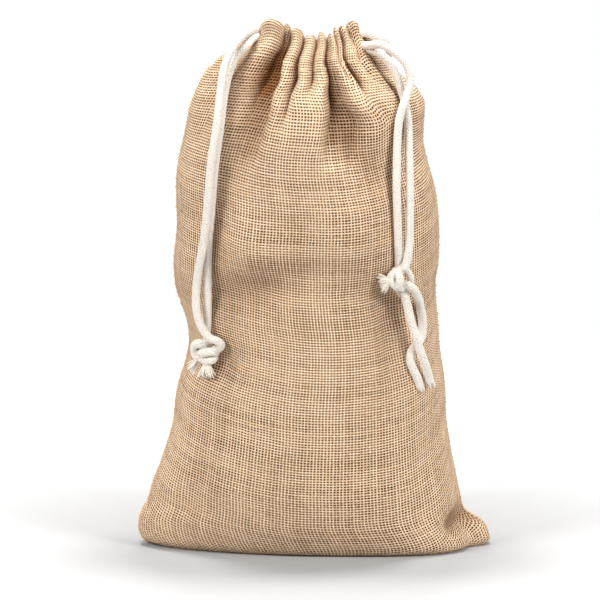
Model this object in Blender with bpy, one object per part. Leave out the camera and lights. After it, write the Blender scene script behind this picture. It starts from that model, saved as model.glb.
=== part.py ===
# Gathered burlap sack with two cotton drawcords, standing filled on its foot.
# World frame: metres, +Z up, the sack's front faces -Y, origin on the floor under its middle.
# The tables below are in millimetres and are turned to metres where points are made.

from collections import namedtuple
import math

import bpy
import bmesh
from mathutils import Vector
import numpy as np

MM = 0.001

# Cloth
WALL = 2.0
HEM_WALL = 2.8
HEM_DEPTH = 16.0
RIM_ROLL = 1.2
TURN = 0.04
FREE_HEIGHT = 205.0
BACK_PLEAT_DEPTH = 5.5

# Drawcord: its thickness, how finely its solid is cut round and along, and the turns of its knots
CORD = 5.0
CORD_ROUNDNESS = 2
CORD_STEP = 11.5
KNOT_SIDES = 10
KNOT_STEP = 2.2

# Outline of the cloth at each height: how far it reaches to the left, right, front and back,
# and how square its left and right ends are (2 is an ellipse, less is pointed).
Section = namedtuple("Section", "height left right front back round_left round_right")
SECTIONS = [
    Section(0.0, 85.0, 84.0, 35.0, 34.0, 1.75, 3.6),
    Section(3.0, 92.0, 86.0, 38.5, 37.5, 1.75, 3.4),
    Section(10.5, 95.5, 84.0, 42.5, 41.5, 1.75, 3.0),
    Section(16.0, 95.0, 82.0, 45.0, 44.0, 1.78, 2.7),
    Section(25.0, 89.3, 80.5, 48.0, 46.5, 1.82, 2.4),
    Section(32.0, 88.0, 79.3, 50.0, 48.5, 1.88, 2.3),
    Section(47.0, 82.5, 76.5, 53.0, 51.0, 1.95, 2.2),
    Section(63.0, 77.6, 74.2, 55.0, 53.0, 2.0, 2.15),
    Section(82.0, 75.4, 72.5, 56.0, 54.0, 2.0, 2.1),
    Section(99.0, 70.4, 71.4, 55.5, 54.0, 2.0, 2.1),
    Section(116.0, 67.7, 69.4, 54.0, 53.5, 2.05, 2.1),
    Section(125.0, 68.2, 68.8, 53.0, 53.0, 2.05, 2.1),
    Section(137.0, 73.0, 67.2, 51.8, 52.5, 2.0, 2.1),
    Section(145.0, 75.2, 66.8, 51.0, 52.5, 2.0, 2.1),
    Section(158.0, 75.9, 69.3, 51.5, 53.0, 2.0, 2.1),
    Section(182.0, 74.3, 68.3, 55.0, 54.5, 2.0, 2.1),
    Section(201.0, 74.3, 65.8, 55.0, 54.0, 2.0, 2.1),
    Section(222.0, 72.0, 61.9, 53.0, 52.0, 2.0, 2.05),
    Section(241.0, 67.7, 59.8, 48.5, 48.0, 2.0, 2.0),
    Section(255.0, 63.8, 56.2, 42.5, 42.0, 2.0, 2.0),
    Section(266.0, 58.5, 50.0, 35.0, 35.0, 2.0, 2.0),
    Section(275.0, 48.4, 42.6, 26.5, 26.5, 2.0, 2.0),
    Section(282.0, 40.0, 35.5, 18.5, 18.5, 2.0, 2.0),
    Section(288.0, 36.0, 31.0, 14.5, 14.5, 2.0, 2.0),
    Section(297.0, 34.0, 29.5, 12.8, 12.8, 2.0, 2.0),
]

# Gathers. Each line runs down the cloth along a ridge or a valley. Its place across the sack is given
# at the rim and at four heights below it, then as its share of the cloth's width where the folds are out.
# Then come the valley's depth at the rim, shoulder and chest, the height where it ends, and the rim's height.
LINE_HEIGHTS = (288.0, 276.0, 266.0, 256.0, 241.0)
Line = namedtuple("Line", "at_rim at_276 at_266 at_256 at_241 share deep_rim deep_266 deep_241 end rim")
FRONT_LINES = [
    Line(-36.0, -48.0, -58.5, -63.5, -67.7, 0.000, 0.0, 0.0, 0.0, 250.0, 289.0),
    Line(-31.4, -41.0, -48.0, -52.0, -55.0, 0.160, 4.0, 3.5, 2.0, 222.0, 288.0),
    Line(-24.8, -30.0, -35.0, -40.0, -44.5, 0.270, 0.0, 0.0, 0.0, 250.0, 296.0),
    Line(-18.7, -22.0, -25.0, -28.6, -34.5, 0.345, 5.5, 10.0, 7.0, 206.0, 292.0),
    Line(-15.4, -19.8, -22.4, -26.0, -32.0, 0.365, 1.0, 5.5, 4.0, 212.0, 292.0),
    Line(-12.0, -17.6, -20.8, -24.0, -30.0, 0.378, 5.0, 4.5, 2.0, 225.0, 289.0),
    Line(-9.4, -14.3, -18.0, -21.5, -27.0, 0.400, 0.0, 0.0, 0.0, 250.0, 290.0),
    Line(-6.6, -8.3, -10.5, -13.8, -19.0, 0.440, 7.0, 5.5, 0.0, 248.0, 286.0),
    Line(-1.1, -2.8, -6.5, -9.4, -12.5, 0.475, 0.0, 0.0, 0.0, 250.0, 285.0),
    Line(3.0, 1.1, -1.1, -2.8, -4.4, 0.515, 7.0, 5.0, 0.0, 254.0, 282.0),
    Line(5.0, 5.0, 4.7, 4.4, 3.3, 0.550, 0.0, 0.0, 0.0, 250.0, 283.0),
    Line(7.2, 8.0, 9.4, 11.6, 15.4, 0.595, 7.5, 10.5, 9.5, 200.0, 282.0),
    Line(9.4, 11.0, 14.0, 17.0, 22.6, 0.630, 0.0, 0.0, 0.0, 250.0, 286.0),
    Line(11.6, 13.2, 16.5, 20.0, 26.0, 0.655, 3.0, 0.8, 0.0, 260.0, 284.0),
    Line(13.8, 15.7, 19.0, 23.0, 29.0, 0.680, 0.0, 0.0, 0.0, 250.0, 284.0),
    Line(15.7, 18.2, 23.7, 28.5, 34.0, 0.710, 7.0, 7.0, 0.5, 238.0, 287.0),
    Line(18.0, 22.6, 31.0, 36.0, 40.5, 0.745, 0.0, 0.0, 0.0, 250.0, 291.0),
    Line(20.6, 27.5, 35.8, 40.0, 43.5, 0.770, 4.0, 1.5, 0.0, 250.0, 291.0),
    Line(24.8, 33.0, 40.0, 43.5, 45.7, 0.795, 0.0, 0.0, 0.0, 250.0, 296.0),
    Line(28.8, 37.2, 44.0, 47.5, 49.0, 0.835, 4.0, 4.0, 2.5, 215.0, 290.0),
    Line(31.0, 42.6, 50.0, 56.0, 59.8, 1.000, 0.0, 0.0, 0.0, 250.0, 289.0),
]

# The back's pleats are even: their count, and how the rim dips in the middle.
BACK_PLEATS = 7
BACK_RIM = 287.0
BACK_RIM_SAG = 4.0

# Broad dents pressed into the front: middle across and up, spread across and up, depth, slant of the long way.
# They fade out over the last stretch before the side seams.
DENT_FADE = 8.0
Dent = namedtuple("Dent", "across up wide tall depth slant")
DENTS = [
    Dent(-57.0, 110.0, 12.0, 26.0, 4.5, 0.25),
    Dent(-46.0, 158.0, 10.0, 24.0, 3.0, -0.15),
    Dent(50.0, 128.0, 11.0, 30.0, 4.5, -0.2),
    Dent(20.0, 152.0, 40.0, 9.0, 2.0, 0.12),
    Dent(-25.0, 150.0, 30.0, 9.0, 2.2, -0.10),
    Dent(-68.0, 34.0, 6.0, 24.0, 2.5, 0.45),
    Dent(78.0, 15.0, 8.0, 7.0, 5.0, 0.0),
    Dent(62.0, 60.0, 7.0, 34.0, 1.2, 0.1),
]

# The foot's right corner sticks out as a flat ear, turned a little up at its tip.
EAR_REACH = 13.5
EAR_WIDTH = 9.0
EAR_TOP = 15.5
EAR_SOFT = 1.6

# Heights of the cloth's rows below the gathered rim, outside and inside.
OUTER_ROWS = [279.0, 274.5, 270.0, 265.5, 260.5, 255.0, 248.5, 241.0, 232.0, 222.0, 211.0, 199.0, 186.0, 172.0,
              158.0, 147.0, 137.0, 126.0, 115.0, 99.0, 81.0, 63.0, 47.0, 35.0, 26.0, 19.0, 15.5, 12.0, 8.0,
              4.0, 1.4, 0.0]
INNER_ROWS = [277.0, 267.0, 255.0, 241.0, 222.0, 199.0, 172.0, 147.0, 126.0, 99.0, 63.0, 35.0, 15.5, 5.0, 2.0]
LINE_SPACING = 4.6
FLAT_WIDTH = 205.0


def flow(at, places, values):
    """Smooth curve through a table's values that doesn't overshoot them."""
    places = np.asarray(places, float)
    values = np.asarray(values, float)
    steps = np.diff(places)
    rises = np.diff(values) / steps
    slopes = np.zeros(len(places))
    slopes[0] = rises[0]
    slopes[-1] = rises[-1]
    for i in range(1, len(places) - 1):
        if rises[i - 1] * rises[i] > 0.0:
            slopes[i] = 2.0 * rises[i - 1] * rises[i] / (rises[i - 1] + rises[i])
    at = np.clip(at, places[0], places[-1])
    i = np.clip(np.searchsorted(places, at, side="right") - 1, 0, len(steps) - 1)
    t = (at - places[i]) / steps[i]
    h = steps[i]
    keep = (1 + 2 * t) * (1 - t) ** 2 * values[i] + t * t * (3 - 2 * t) * values[i + 1]
    return keep + h * (t * (1 - t) ** 2 * slopes[i] - t * t * (1 - t) * slopes[i + 1])


def section_at(height):
    """The outline's sizes at any height."""
    heights = [s.height for s in SECTIONS]
    return Section(*[flow(height, heights, [s[k] for s in SECTIONS]) for k in range(len(Section._fields))])


def half_outline(height, side):
    """Points of the front (side -1) or back (side 1) half, from the left end to the right end."""
    s = section_at(height)
    turn = np.linspace(0.0, math.pi, 361)
    left = turn < math.pi / 2
    power = 2.0 / np.where(left, s.round_left, s.round_right)
    reach = np.where(left, -s.left, s.right)
    depth = s.front if side < 0 else s.back
    x = reach * np.abs(np.cos(turn)) ** power
    y = side * depth * np.abs(np.sin(turn)) ** power
    y = y - TURN * x * np.sin(turn) ** 2
    return np.column_stack([x, y])


def along(points):
    """Distance along a line of points."""
    return np.concatenate([[0.0], np.cumsum(np.linalg.norm(np.diff(points, axis=0), axis=1))])


def back_lines():
    """The back's ridges and valleys, by their share of the width, as the front's lines are."""
    lines = []
    count = 2 * BACK_PLEATS
    for k in range(count + 1):
        share = k / count
        valley = k % 2
        depth = BACK_PLEAT_DEPTH * (1.0 + 0.25 * math.sin(2.4 * k)) * valley
        end = 232.0 - 14.0 * math.sin(1.9 * k)
        rim = BACK_RIM + 2.0 - BACK_RIM_SAG * math.sin(math.pi * share) + 1.5 * math.cos(3.1 * k)
        lines.append(Line(None, None, None, None, None, share, depth, depth, 0.4 * depth, end, rim))
    return lines


def line_share(line, height):
    """Where a line lies along its half's outline, as a share of that half's length."""
    if line.at_rim is None:
        return line.share
    if line.share in (0.0, 1.0):
        return line.share
    tracked = list(line[:5])
    shares = []
    for level, x in zip(LINE_HEIGHTS, tracked):
        points = half_outline(level, -1)
        shares.append(np.interp(x, points[:, 0], along(points) / along(points)[-1]))
    levels = [FREE_HEIGHT] + list(reversed(LINE_HEIGHTS))
    return float(flow(height, levels, [line.share] + list(reversed(shares))))


def line_depth(line, height):
    """How deep a valley lies under the outline at a height."""
    if line.deep_rim == 0.0 or height <= line.end:
        return 0.0
    levels = [line.end, 266.0, 288.0]
    depths = [0.0, line.deep_266, line.deep_rim]
    if line.end < 236.0:
        levels.insert(1, 241.0)
        depths.insert(1, line.deep_241)
    return float(flow(height, levels, depths))


def column_plan(lines):
    """Columns between neighbouring lines: each names its interval and its place in it."""
    plan = []
    for i in range(len(lines) - 1):
        width = (lines[i + 1].share - lines[i].share) * FLAT_WIDTH
        count = max(2, round(width / LINE_SPACING))
        for j in range(count):
            plan.append((i, j / count))
    return plan


def fold_profile(place, start_depth, end_depth):
    """Depth between two lines: round over a ridge, tight in a valley."""
    if start_depth > end_depth:
        rise = math.sin(0.5 * math.pi * place ** 0.8)
    else:
        rise = 1.0 - math.sin(0.5 * math.pi * (1.0 - place) ** 0.8)
    return start_depth + (end_depth - start_depth) * rise


def dent_depth(x, height):
    """How far the broad dents press the front in at a place."""
    total = 0.0
    for d in DENTS:
        up = height - d.up
        across = x - d.across - d.slant * up
        total += d.depth * math.exp(-(across / d.wide) ** 2 - (up / d.tall) ** 2)
    return total


def half_row(height, side, lines, plan, inner):
    """One half's points at a height, folds and dents pressed in along the outline's normal."""
    outline = half_outline(height, side)
    length = along(outline)
    shares = [line_share(line, height) for line in lines]
    depths = [line_depth(line, height) for line in lines]
    at = []
    press = []
    for i, place in plan:
        at.append((shares[i] + (shares[i + 1] - shares[i]) * place) * length[-1])
        press.append(fold_profile(place, depths[i], depths[i + 1]))
    at = np.array(at)
    press = np.array(press)
    x = np.interp(at, length, outline[:, 0])
    y = np.interp(at, length, outline[:, 1])
    reach = 0.01 * length[-1]
    ahead = np.column_stack([np.interp(at + reach, length, outline[:, k]) for k in (0, 1)])
    behind = np.column_stack([np.interp(at - reach, length, outline[:, k]) for k in (0, 1)])
    run = ahead - behind
    run /= np.linalg.norm(run, axis=1)[:, None]
    inward = np.column_stack([-run[:, 1], run[:, 0]]) * (-side)
    if side < 0:
        fade = np.clip(np.minimum(at, length[-1] - at) / DENT_FADE, 0.0, 1.0)
        press += fade * np.array([dent_depth(px, height) for px in x])
    if inner:
        wide = [np.max(press[np.abs(at - a) <= 1.4 * WALL]) for a in at]
        press = np.array(wide) + wall_at(height)
    points = np.column_stack([x, y]) + inward * press[:, None]
    if not inner:
        points[:, 0] += ear_reach(height) * np.exp(-((length[-1] - at) / EAR_WIDTH) ** 4)
    return points


def wall_at(height):
    """Thickness of the cloth: two layers where the hem holds the cord."""
    return float(flow(height, [0.0, 288.0 - HEM_DEPTH, 288.0], [WALL, WALL, HEM_WALL]))


def ear_reach(height):
    """How far the ear stands out at a height."""
    return EAR_REACH / (1.0 + math.exp((height - EAR_TOP) / EAR_SOFT))


def ring(height, front, back, inner=False):
    """Closed ring of points: along the front to the right, then along the back to the left."""
    front_points = half_row(height, -1, front, column_plan(front), inner)
    back_points = half_row(height, 1, back, column_plan(back) + [(len(back) - 2, 1.0)], inner)
    return np.vstack([front_points, back_points[:0:-1]])


def rim_heights(front, back):
    """Height of the rim over each column."""
    heights = []
    for lines, plan in ((front, column_plan(front)), (back, column_plan(back) + [(len(back) - 2, 1.0)])):
        heights.append([-fold_profile(place, -lines[i].rim, -lines[i + 1].rim) for i, place in plan])
    return np.array(heights[0] + heights[1][:0:-1])


def rim_ring(front, back, inner):
    """Ring that follows the rim's own height, a little below its crown."""
    heights = rim_heights(front, back) - RIM_ROLL
    levels = np.linspace(heights.min(), heights.max(), 9)
    rings = np.array([ring(level, front, back, inner) for level in levels])
    points = []
    for column, height in enumerate(heights):
        x = np.interp(height, levels, rings[:, column, 0])
        y = np.interp(height, levels, rings[:, column, 1])
        points.append((x, y, height))
    return np.array(points)


def flat_ring(height, front, back, inner=False):
    """Level ring of points with its height filled in."""
    points = ring(height, front, back, inner)
    return np.column_stack([points, np.full(len(points), height)])


def sack_cloth():
    """The whole cloth as one solid: outside wall, rolled rim, inside wall, and a flat foot."""
    front = FRONT_LINES
    back = back_lines()
    outer_rim = rim_ring(front, back, False)
    inner_rim = rim_ring(front, back, True)
    crown = 0.5 * (outer_rim + inner_rim)
    crown[:, 2] += RIM_ROLL
    rings = [flat_ring(h, front, back) for h in reversed(OUTER_ROWS)]
    rings += [outer_rim, crown, inner_rim]
    rings += [flat_ring(h, front, back, True) for h in INNER_ROWS]
    bm = bmesh.new()
    rows = [[bm.verts.new(Vector(p) * MM) for p in points] for points in rings]
    count = len(rows[0])
    for low, high in zip(rows, rows[1:]):
        for i in range(count):
            j = (i + 1) % count
            bm.faces.new((low[i], low[j], high[j], high[i]))
    bm.faces.new(list(reversed(rows[0])))
    bm.faces.new(rows[-1])
    bmesh.ops.triangulate(bm, faces=bm.faces[:])
    bmesh.ops.recalc_face_normals(bm, faces=bm.faces[:])
    mesh = bpy.data.meshes.new("sack_cloth")
    bm.to_mesh(mesh)
    bm.free()
    mesh.shade_smooth()
    return place_object("sack_cloth", mesh, BURLAP)


def place_object(name, data, material):
    """Adds one named solid to the scene with its material."""
    body = bpy.data.objects.new(name, data)
    data.materials.append(material)
    bpy.context.scene.collection.objects.link(body)
    return body


def plain_material(name, colour, roughness):
    """A matt material for one kind of fibre."""
    material = bpy.data.materials.new(name)
    material.use_nodes = True
    shader = material.node_tree.nodes["Principled BSDF"]
    shader.inputs["Base Color"].default_value = (*colour, 1.0)
    shader.inputs["Roughness"].default_value = roughness
    shader.inputs["Metallic"].default_value = 0.0
    return material


# Routes of the drawcord's free stretches, from where each leaves the hem to its knot, and on to its end.
LEFT_INNER = [(-33.5, -12.0, 284.0), (-38.0, -16.0, 281.5), (-43.0, -18.0, 275.5), (-47.0, -22.5, 267.0),
              (-49.0, -28.5, 257.0), (-51.0, -34.5, 241.5), (-54.0, -38.5, 220.0), (-56.0, -39.0, 197.5),
              (-57.5, -36.5, 174.5), (-58.5, -34.0, 151.5), (-59.0, -32.0, 136.0), (-59.6, -29.0, 121.6)]
LEFT_OUTER = [(-31.5, -10.0, 289.0), (-37.0, -13.0, 289.5), (-42.5, -18.5, 287.0), (-47.0, -25.0, 280.5),
              (-50.0, -29.5, 270.5), (-51.5, -34.5, 258.0), (-53.5, -39.8, 242.5), (-56.0, -43.8, 220.5),
              (-58.5, -44.2, 198.5), (-61.5, -41.0, 175.5), (-63.5, -37.0, 157.5), (-63.8, -36.0, 148.5),
              (-62.5, -37.2, 140.5), (-59.0, -37.5, 131.5), (-54.8, -37.5, 124.5), (-50.5, -37.5, 120.0)]
RIGHT_FRONT = [(33.5, -13.5, 282.0), (37.0, -15.5, 281.5), (43.0, -19.5, 278.5), (49.0, -22.0, 272.5),
               (53.0, -23.0, 265.5), (53.8, -26.0, 259.5), (52.5, -30.5, 254.0), (50.3, -33.0, 248.5),
               (48.0, -35.5, 242.0), (46.7, -38.8, 233.0), (46.0, -42.5, 220.0), (45.7, -45.3, 206.0),
               (46.0, -46.5, 192.0), (46.5, -46.0, 178.0), (47.2, -43.6, 169.0), (47.6, -43.0, 165.6)]
RIGHT_BACK = [(36.5, -19.0, 275.5), (39.5, -20.8, 272.5), (42.8, -21.8, 268.5), (45.5, -23.5, 263.0),
              (47.5, -25.0, 257.5), (50.0, -25.0, 251.0), (52.0, -26.0, 244.5), (52.5, -28.5, 237.0),
              (52.5, -33.5, 224.5), (53.0, -38.5, 208.5), (53.0, -41.2, 192.0), (53.0, -42.2, 177.0),
              (52.6, -45.8, 170.0), (51.2, -48.0, 164.9)]
RIGHT_BIGHT = [(32.0, -9.5, 286.5), (36.0, -9.0, 286.0), (40.0, -6.5, 283.5), (43.3, -1.5, 279.5),
               (45.0, 5.0, 275.0), (44.5, 11.0, 270.5)]
RIGHT_TAIL = [(52.6, -42.6, 151.6), (55.4, -38.6, 149.8), (58.0, -31.5, 145.0), (59.5, -28.5, 138.5),
              (60.5, -28.5, 131.0), (60.0, -29.5, 123.5), (57.0, -32.5, 118.0), (54.5, -36.0, 113.5),
              (54.0, -38.0, 108.0), (56.0, -37.8, 102.5), (58.5, -36.8, 97.0), (60.0, -35.3, 93.0)]
LEFT_TAIL = [(48.9, -40.4, 148.1), (51.5, -36.5, 140.0), (53.5, -36.8, 133.0), (55.5, -38.5, 126.0),
             (57.5, -40.5, 119.5), (60.0, -39.5, 112.0), (62.0, -36.0, 105.0), (64.3, -32.5, 98.5),
             (65.3, -30.5, 93.5)]

# Each knot is the turns of cord that show: the middle line of every turn.
LEFT_KNOT = [
    [(-60.0, -30.0, 118.3), (-64.2, -29.5, 118.6), (-66.0, -29.0, 115.3), (-64.2, -29.5, 112.0), (-61.0, -30.5, 111.0)],
    [(-63.0, -30.5, 113.2), (-59.4, -33.0, 113.0), (-56.2, -33.0, 113.3), (-54.2, -31.6, 114.3)],
    [(-62.0, -29.0, 110.0), (-58.3, -31.0, 108.4), (-55.3, -31.6, 108.9), (-54.2, -30.8, 111.0)],
]
RIGHT_KNOT = [
    [(48.5, -42.5, 162.0), (44.8, -45.0, 161.5), (42.6, -46.0, 158.6), (43.8, -46.8, 155.0), (46.8, -45.5, 152.6)],
    [(47.5, -42.0, 160.0), (52.0, -41.0, 160.0), (54.6, -40.2, 157.5)],
    [(44.5, -43.5, 157.0), (46.3, -42.0, 153.0), (48.0, -41.2, 150.0)],
]

# Frayed ends: where each leaves its knot, where it ends, and how far it fans out.
TUFT_SIDES = 14
TUFT_LOBES = 5
Tuft = namedtuple("Tuft", "root tip spread")
TUFTS = {
    "left_knot_tuft_side": Tuft((-65.4, -31.0, 108.6), (-68.6, -32.0, 103.0), 3.4),
    "left_knot_tuft_low": Tuft((-59.0, -31.5, 105.4), (-59.8, -33.0, 99.5), 4.6),
    "right_knot_tuft": Tuft((39.9, -47.2, 155.4), (35.9, -47.7, 153.0), 4.2),
}


def smooth_route(points, step):
    """Even points on the smooth curve through a route's own points."""
    points = np.array(points, float)
    length = along(points)
    ways = np.gradient(points, length, axis=0)
    count = max(4, round(length[-1] / step))
    out = []
    for at in np.linspace(0.0, length[-1], count + 1):
        i = min(len(length) - 2, int(np.searchsorted(length, at, side="right")) - 1)
        h = length[i + 1] - length[i]
        t = (at - length[i]) / h
        start = (1 + 2 * t) * (1 - t) ** 2 * points[i] + t * (1 - t) ** 2 * h * ways[i]
        end = t * t * (3 - 2 * t) * points[i + 1] - t * t * (1 - t) * h * ways[i + 1]
        out.append(start + end)
    return np.array(out)


def cord_stretch(name, route):
    """One free stretch of drawcord."""
    points = smooth_route(route, CORD_STEP)
    curve = bpy.data.curves.new(name, "CURVE")
    curve.dimensions = "3D"
    curve.bevel_depth = 0.5 * CORD * MM
    curve.bevel_resolution = CORD_ROUNDNESS
    curve.use_fill_caps = True
    spline = curve.splines.new("POLY")
    spline.points.add(len(points) - 1)
    for spot, point in zip(spline.points, points):
        spot.co = (*(Vector(point) * MM), 1.0)
    spline.use_smooth = True
    return place_object(name, curve, COTTON)


def turn_mesh(name, route):
    """One turn of a knot: a short closed tube with rounded ends."""
    points = smooth_route(route, KNOT_STEP)
    ways = np.gradient(points, axis=0)
    start_way = ways[0] / np.linalg.norm(ways[0])
    end_way = ways[-1] / np.linalg.norm(ways[-1])
    radius = 0.5 * CORD
    points = np.vstack([points[0] - start_way * 0.4 * radius, points, points[-1] + end_way * 0.4 * radius])
    ways = np.vstack([ways[:1], ways, ways[-1:]])
    radii = [0.65 * radius] + [radius] * (len(points) - 2) + [0.65 * radius]
    bm = bmesh.new()
    rings = []
    side = Vector((0.0, 0.0, 1.0)).cross(Vector(ways[0]))
    for point, way, size in zip(points, ways, radii):
        way = Vector(way).normalized()
        side = (side - way * side.dot(way)).normalized()
        up = way.cross(side)
        ring_points = []
        for k in range(KNOT_SIDES):
            turn = 2.0 * math.pi * k / KNOT_SIDES
            spot = Vector(point) + (side * math.cos(turn) + up * math.sin(turn)) * size
            ring_points.append(bm.verts.new(spot * MM))
        rings.append(ring_points)
    for low, high in zip(rings, rings[1:]):
        for k in range(KNOT_SIDES):
            n = (k + 1) % KNOT_SIDES
            bm.faces.new((low[k], low[n], high[n], high[k]))
    bm.faces.new(list(reversed(rings[0])))
    bm.faces.new(rings[-1])
    bmesh.ops.recalc_face_normals(bm, faces=bm.faces[:])
    mesh = bpy.data.meshes.new(name)
    bm.to_mesh(mesh)
    bm.free()
    return mesh


def knot(name, turns):
    """A knot: its turns united into one solid."""
    body = place_object(name, turn_mesh(name, turns[0]), COTTON)
    for number, route in enumerate(turns[1:]):
        guide_name = f"{name}_turn_{number}"
        guide = place_object(guide_name, turn_mesh(guide_name, route), COTTON)
        guide.hide_render = True
        guide.display_type = "WIRE"
        union = body.modifiers.new(guide_name, "BOOLEAN")
        union.operation = "UNION"
        union.solver = "EXACT"
        union.object = guide
    return body


def tuft_end(name, tuft):
    """A frayed cord end: a short cone that fans out and is lobed at its tip."""
    root = Vector(tuft.root)
    way = Vector(tuft.tip) - root
    side = way.cross(Vector((0.0, 1.0, 0.0))).normalized()
    up = side.cross(way).normalized()
    station = namedtuple("station", "place wide thick lobe")
    stations = [
        station(0.0, 2.1, 2.1, 0.0),
        station(0.45, 0.75 * tuft.spread, 2.2, 0.05),
        station(0.85, tuft.spread, 1.9, 0.14),
        station(1.0, 0.8 * tuft.spread, 1.1, 0.2),
    ]
    bm = bmesh.new()
    rings = []
    for part in stations:
        ring_points = []
        for k in range(TUFT_SIDES):
            turn = 2.0 * math.pi * k / TUFT_SIDES
            swell = 1.0 + part.lobe * math.cos(TUFT_LOBES * turn)
            wide = side * math.cos(turn) * part.wide * swell
            thick = up * math.sin(turn) * part.thick * swell
            ring_points.append(bm.verts.new((root + way * part.place + wide + thick) * MM))
        rings.append(ring_points)
    for low, high in zip(rings, rings[1:]):
        for k in range(TUFT_SIDES):
            n = (k + 1) % TUFT_SIDES
            bm.faces.new((low[k], low[n], high[n], high[k]))
    bm.faces.new(list(reversed(rings[0])))
    bm.faces.new(rings[-1])
    bmesh.ops.recalc_face_normals(bm, faces=bm.faces[:])
    mesh = bpy.data.meshes.new(name)
    bm.to_mesh(mesh)
    bm.free()
    return place_object(name, mesh, COTTON)


for old in list(bpy.data.objects):
    bpy.data.objects.remove(old, do_unlink=True)

BURLAP = plain_material("natural burlap", (0.56, 0.38, 0.22), 0.95)
COTTON = plain_material("undyed cotton cord", (0.83, 0.78, 0.70), 0.9)

sack_cloth()
cord_stretch("left_cord_inner", LEFT_INNER)
cord_stretch("left_cord_outer", LEFT_OUTER)
cord_stretch("right_cord_front", RIGHT_FRONT)
cord_stretch("right_cord_back", RIGHT_BACK)
cord_stretch("right_cord_bight", RIGHT_BIGHT)
cord_stretch("right_tail_right", RIGHT_TAIL)
cord_stretch("right_tail_left", LEFT_TAIL)
knot("left_knot", LEFT_KNOT)
knot("right_knot", RIGHT_KNOT)
for name, tuft in TUFTS.items():
    tuft_end(name, tuft)
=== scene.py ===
import math
from collections import namedtuple

import bpy
import bmesh
import numpy as np
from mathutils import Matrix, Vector, noise


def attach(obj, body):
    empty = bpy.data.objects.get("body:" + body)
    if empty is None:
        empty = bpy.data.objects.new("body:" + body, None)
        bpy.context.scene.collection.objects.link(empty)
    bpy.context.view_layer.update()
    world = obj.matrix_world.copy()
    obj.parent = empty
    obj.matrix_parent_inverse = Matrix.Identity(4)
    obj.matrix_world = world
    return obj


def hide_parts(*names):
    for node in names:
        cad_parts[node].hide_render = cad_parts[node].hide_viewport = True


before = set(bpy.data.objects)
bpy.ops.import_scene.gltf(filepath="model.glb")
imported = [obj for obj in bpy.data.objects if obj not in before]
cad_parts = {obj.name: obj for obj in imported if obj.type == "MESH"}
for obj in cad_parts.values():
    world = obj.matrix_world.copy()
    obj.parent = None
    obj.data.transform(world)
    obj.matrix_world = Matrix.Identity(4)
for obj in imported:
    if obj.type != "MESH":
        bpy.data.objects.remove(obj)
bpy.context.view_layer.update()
mm = 0.001

# node helpers: each finds its tree from the sockets that go in


def feed(socket, value):
    if isinstance(value, bpy.types.NodeSocket):
        socket.id_data.links.new(value, socket)
    else:
        socket.default_value = value


def putIn(node, values):
    for label, value in values.items():
        feed(node.inputs[label], value)


def addNode(tree, kind, inputs=None, **settings):
    node = tree.nodes.new(kind)
    for name, value in settings.items():
        setattr(node, name, value)
    putIn(node, inputs or {})
    return node


def treeOf(values):
    return next(value.id_data for value in values if isinstance(value, bpy.types.NodeSocket))


def inOrder(values, kind, **settings):
    node = addNode(treeOf(values), kind, **settings)
    for socket, value in zip(node.inputs, values):
        feed(socket, value)
    return node.outputs[0]


def calc(operation, *values, clamp=False):
    return inOrder(values, "ShaderNodeMath", operation=operation, use_clamp=clamp)


def times(first, second):
    return calc("MULTIPLY", first, second)


def around(value, amount, base, middle=0.5, clamp=False):
    # the base, moved up and down as the value lies over or under its middle
    return calc("MULTIPLY_ADD", calc("SUBTRACT", value, middle), amount, base, clamp=clamp)


def stretch(value, lowFrom, highFrom, lowTo=0.0, highTo=1.0, soft=False):
    return inOrder((value, lowFrom, highFrom, lowTo, highTo), "ShaderNodeMapRange",
                   interpolation_type="SMOOTHSTEP" if soft else "LINEAR")


def joinVector(x, y, z=0.0):
    return inOrder((x, y, z), "ShaderNodeCombineXYZ")


def vectorCalc(operation, first, second):
    return inOrder((first, second), "ShaderNodeVectorMath", operation=operation)


def scaled(vector, amount):
    return addNode(vector.id_data, "ShaderNodeVectorMath", {0: vector, "Scale": amount}, operation="SCALE").outputs[0]


def splitVector(vector):
    return addNode(vector.id_data, "ShaderNodeSeparateXYZ", {0: vector}).outputs


def blendColour(amount, first, second, kind="MIX"):
    return addNode(treeOf((amount, first, second)), "ShaderNodeMix", {"Factor": amount, "A": first, "B": second},
                   data_type="RGBA", blend_type=kind).outputs["Result"]


def softNoise(place, scale=1.0, detail=2.0, roughness=0.5):
    return addNode(place.id_data, "ShaderNodeTexNoise", {
        "Vector": place, "Scale": scale, "Detail": detail, "Roughness": roughness}).outputs["Fac"]


def perYarn(number, seed):
    return addNode(number.id_data, "ShaderNodeTexWhiteNoise", {"Vector": joinVector(number, seed)},
                   noise_dimensions="2D").outputs["Value"]


def chance(low, high, number, seed, step):
    # a random number for each item, from the tree's seed and a step of its own
    return addNode(number.id_data, "FunctionNodeRandomValue", {
        2: low, 3: high, "ID": number, "Seed": calc("ADD", seed, step)}, data_type="FLOAT").outputs[1]


def newTree(name, ins, outs=()):
    # a shader group, or a geometry tree where only geometry comes out
    tree = bpy.data.node_groups.new(name, "ShaderNodeTree" if outs else "GeometryNodeTree")
    kinds = {float: "NodeSocketFloat", int: "NodeSocketInt", tuple: "NodeSocketVector"}
    if not outs:
        tree.is_modifier = True
        for way in ("INPUT", "OUTPUT"):
            tree.interface.new_socket("Geometry", in_out=way, socket_type="NodeSocketGeometry")
        tree.interface.new_socket("Material", in_out="INPUT", socket_type="NodeSocketMaterial")
    for label, value in ins.items():
        tree.interface.new_socket(label, in_out="INPUT", socket_type=kinds[type(value)]).default_value = value
    for label in outs:
        tree.interface.new_socket(label, in_out="OUTPUT", socket_type="NodeSocketFloat")
    return tree, addNode(tree, "NodeGroupInput").outputs, addNode(tree, "NodeGroupOutput")


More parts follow.
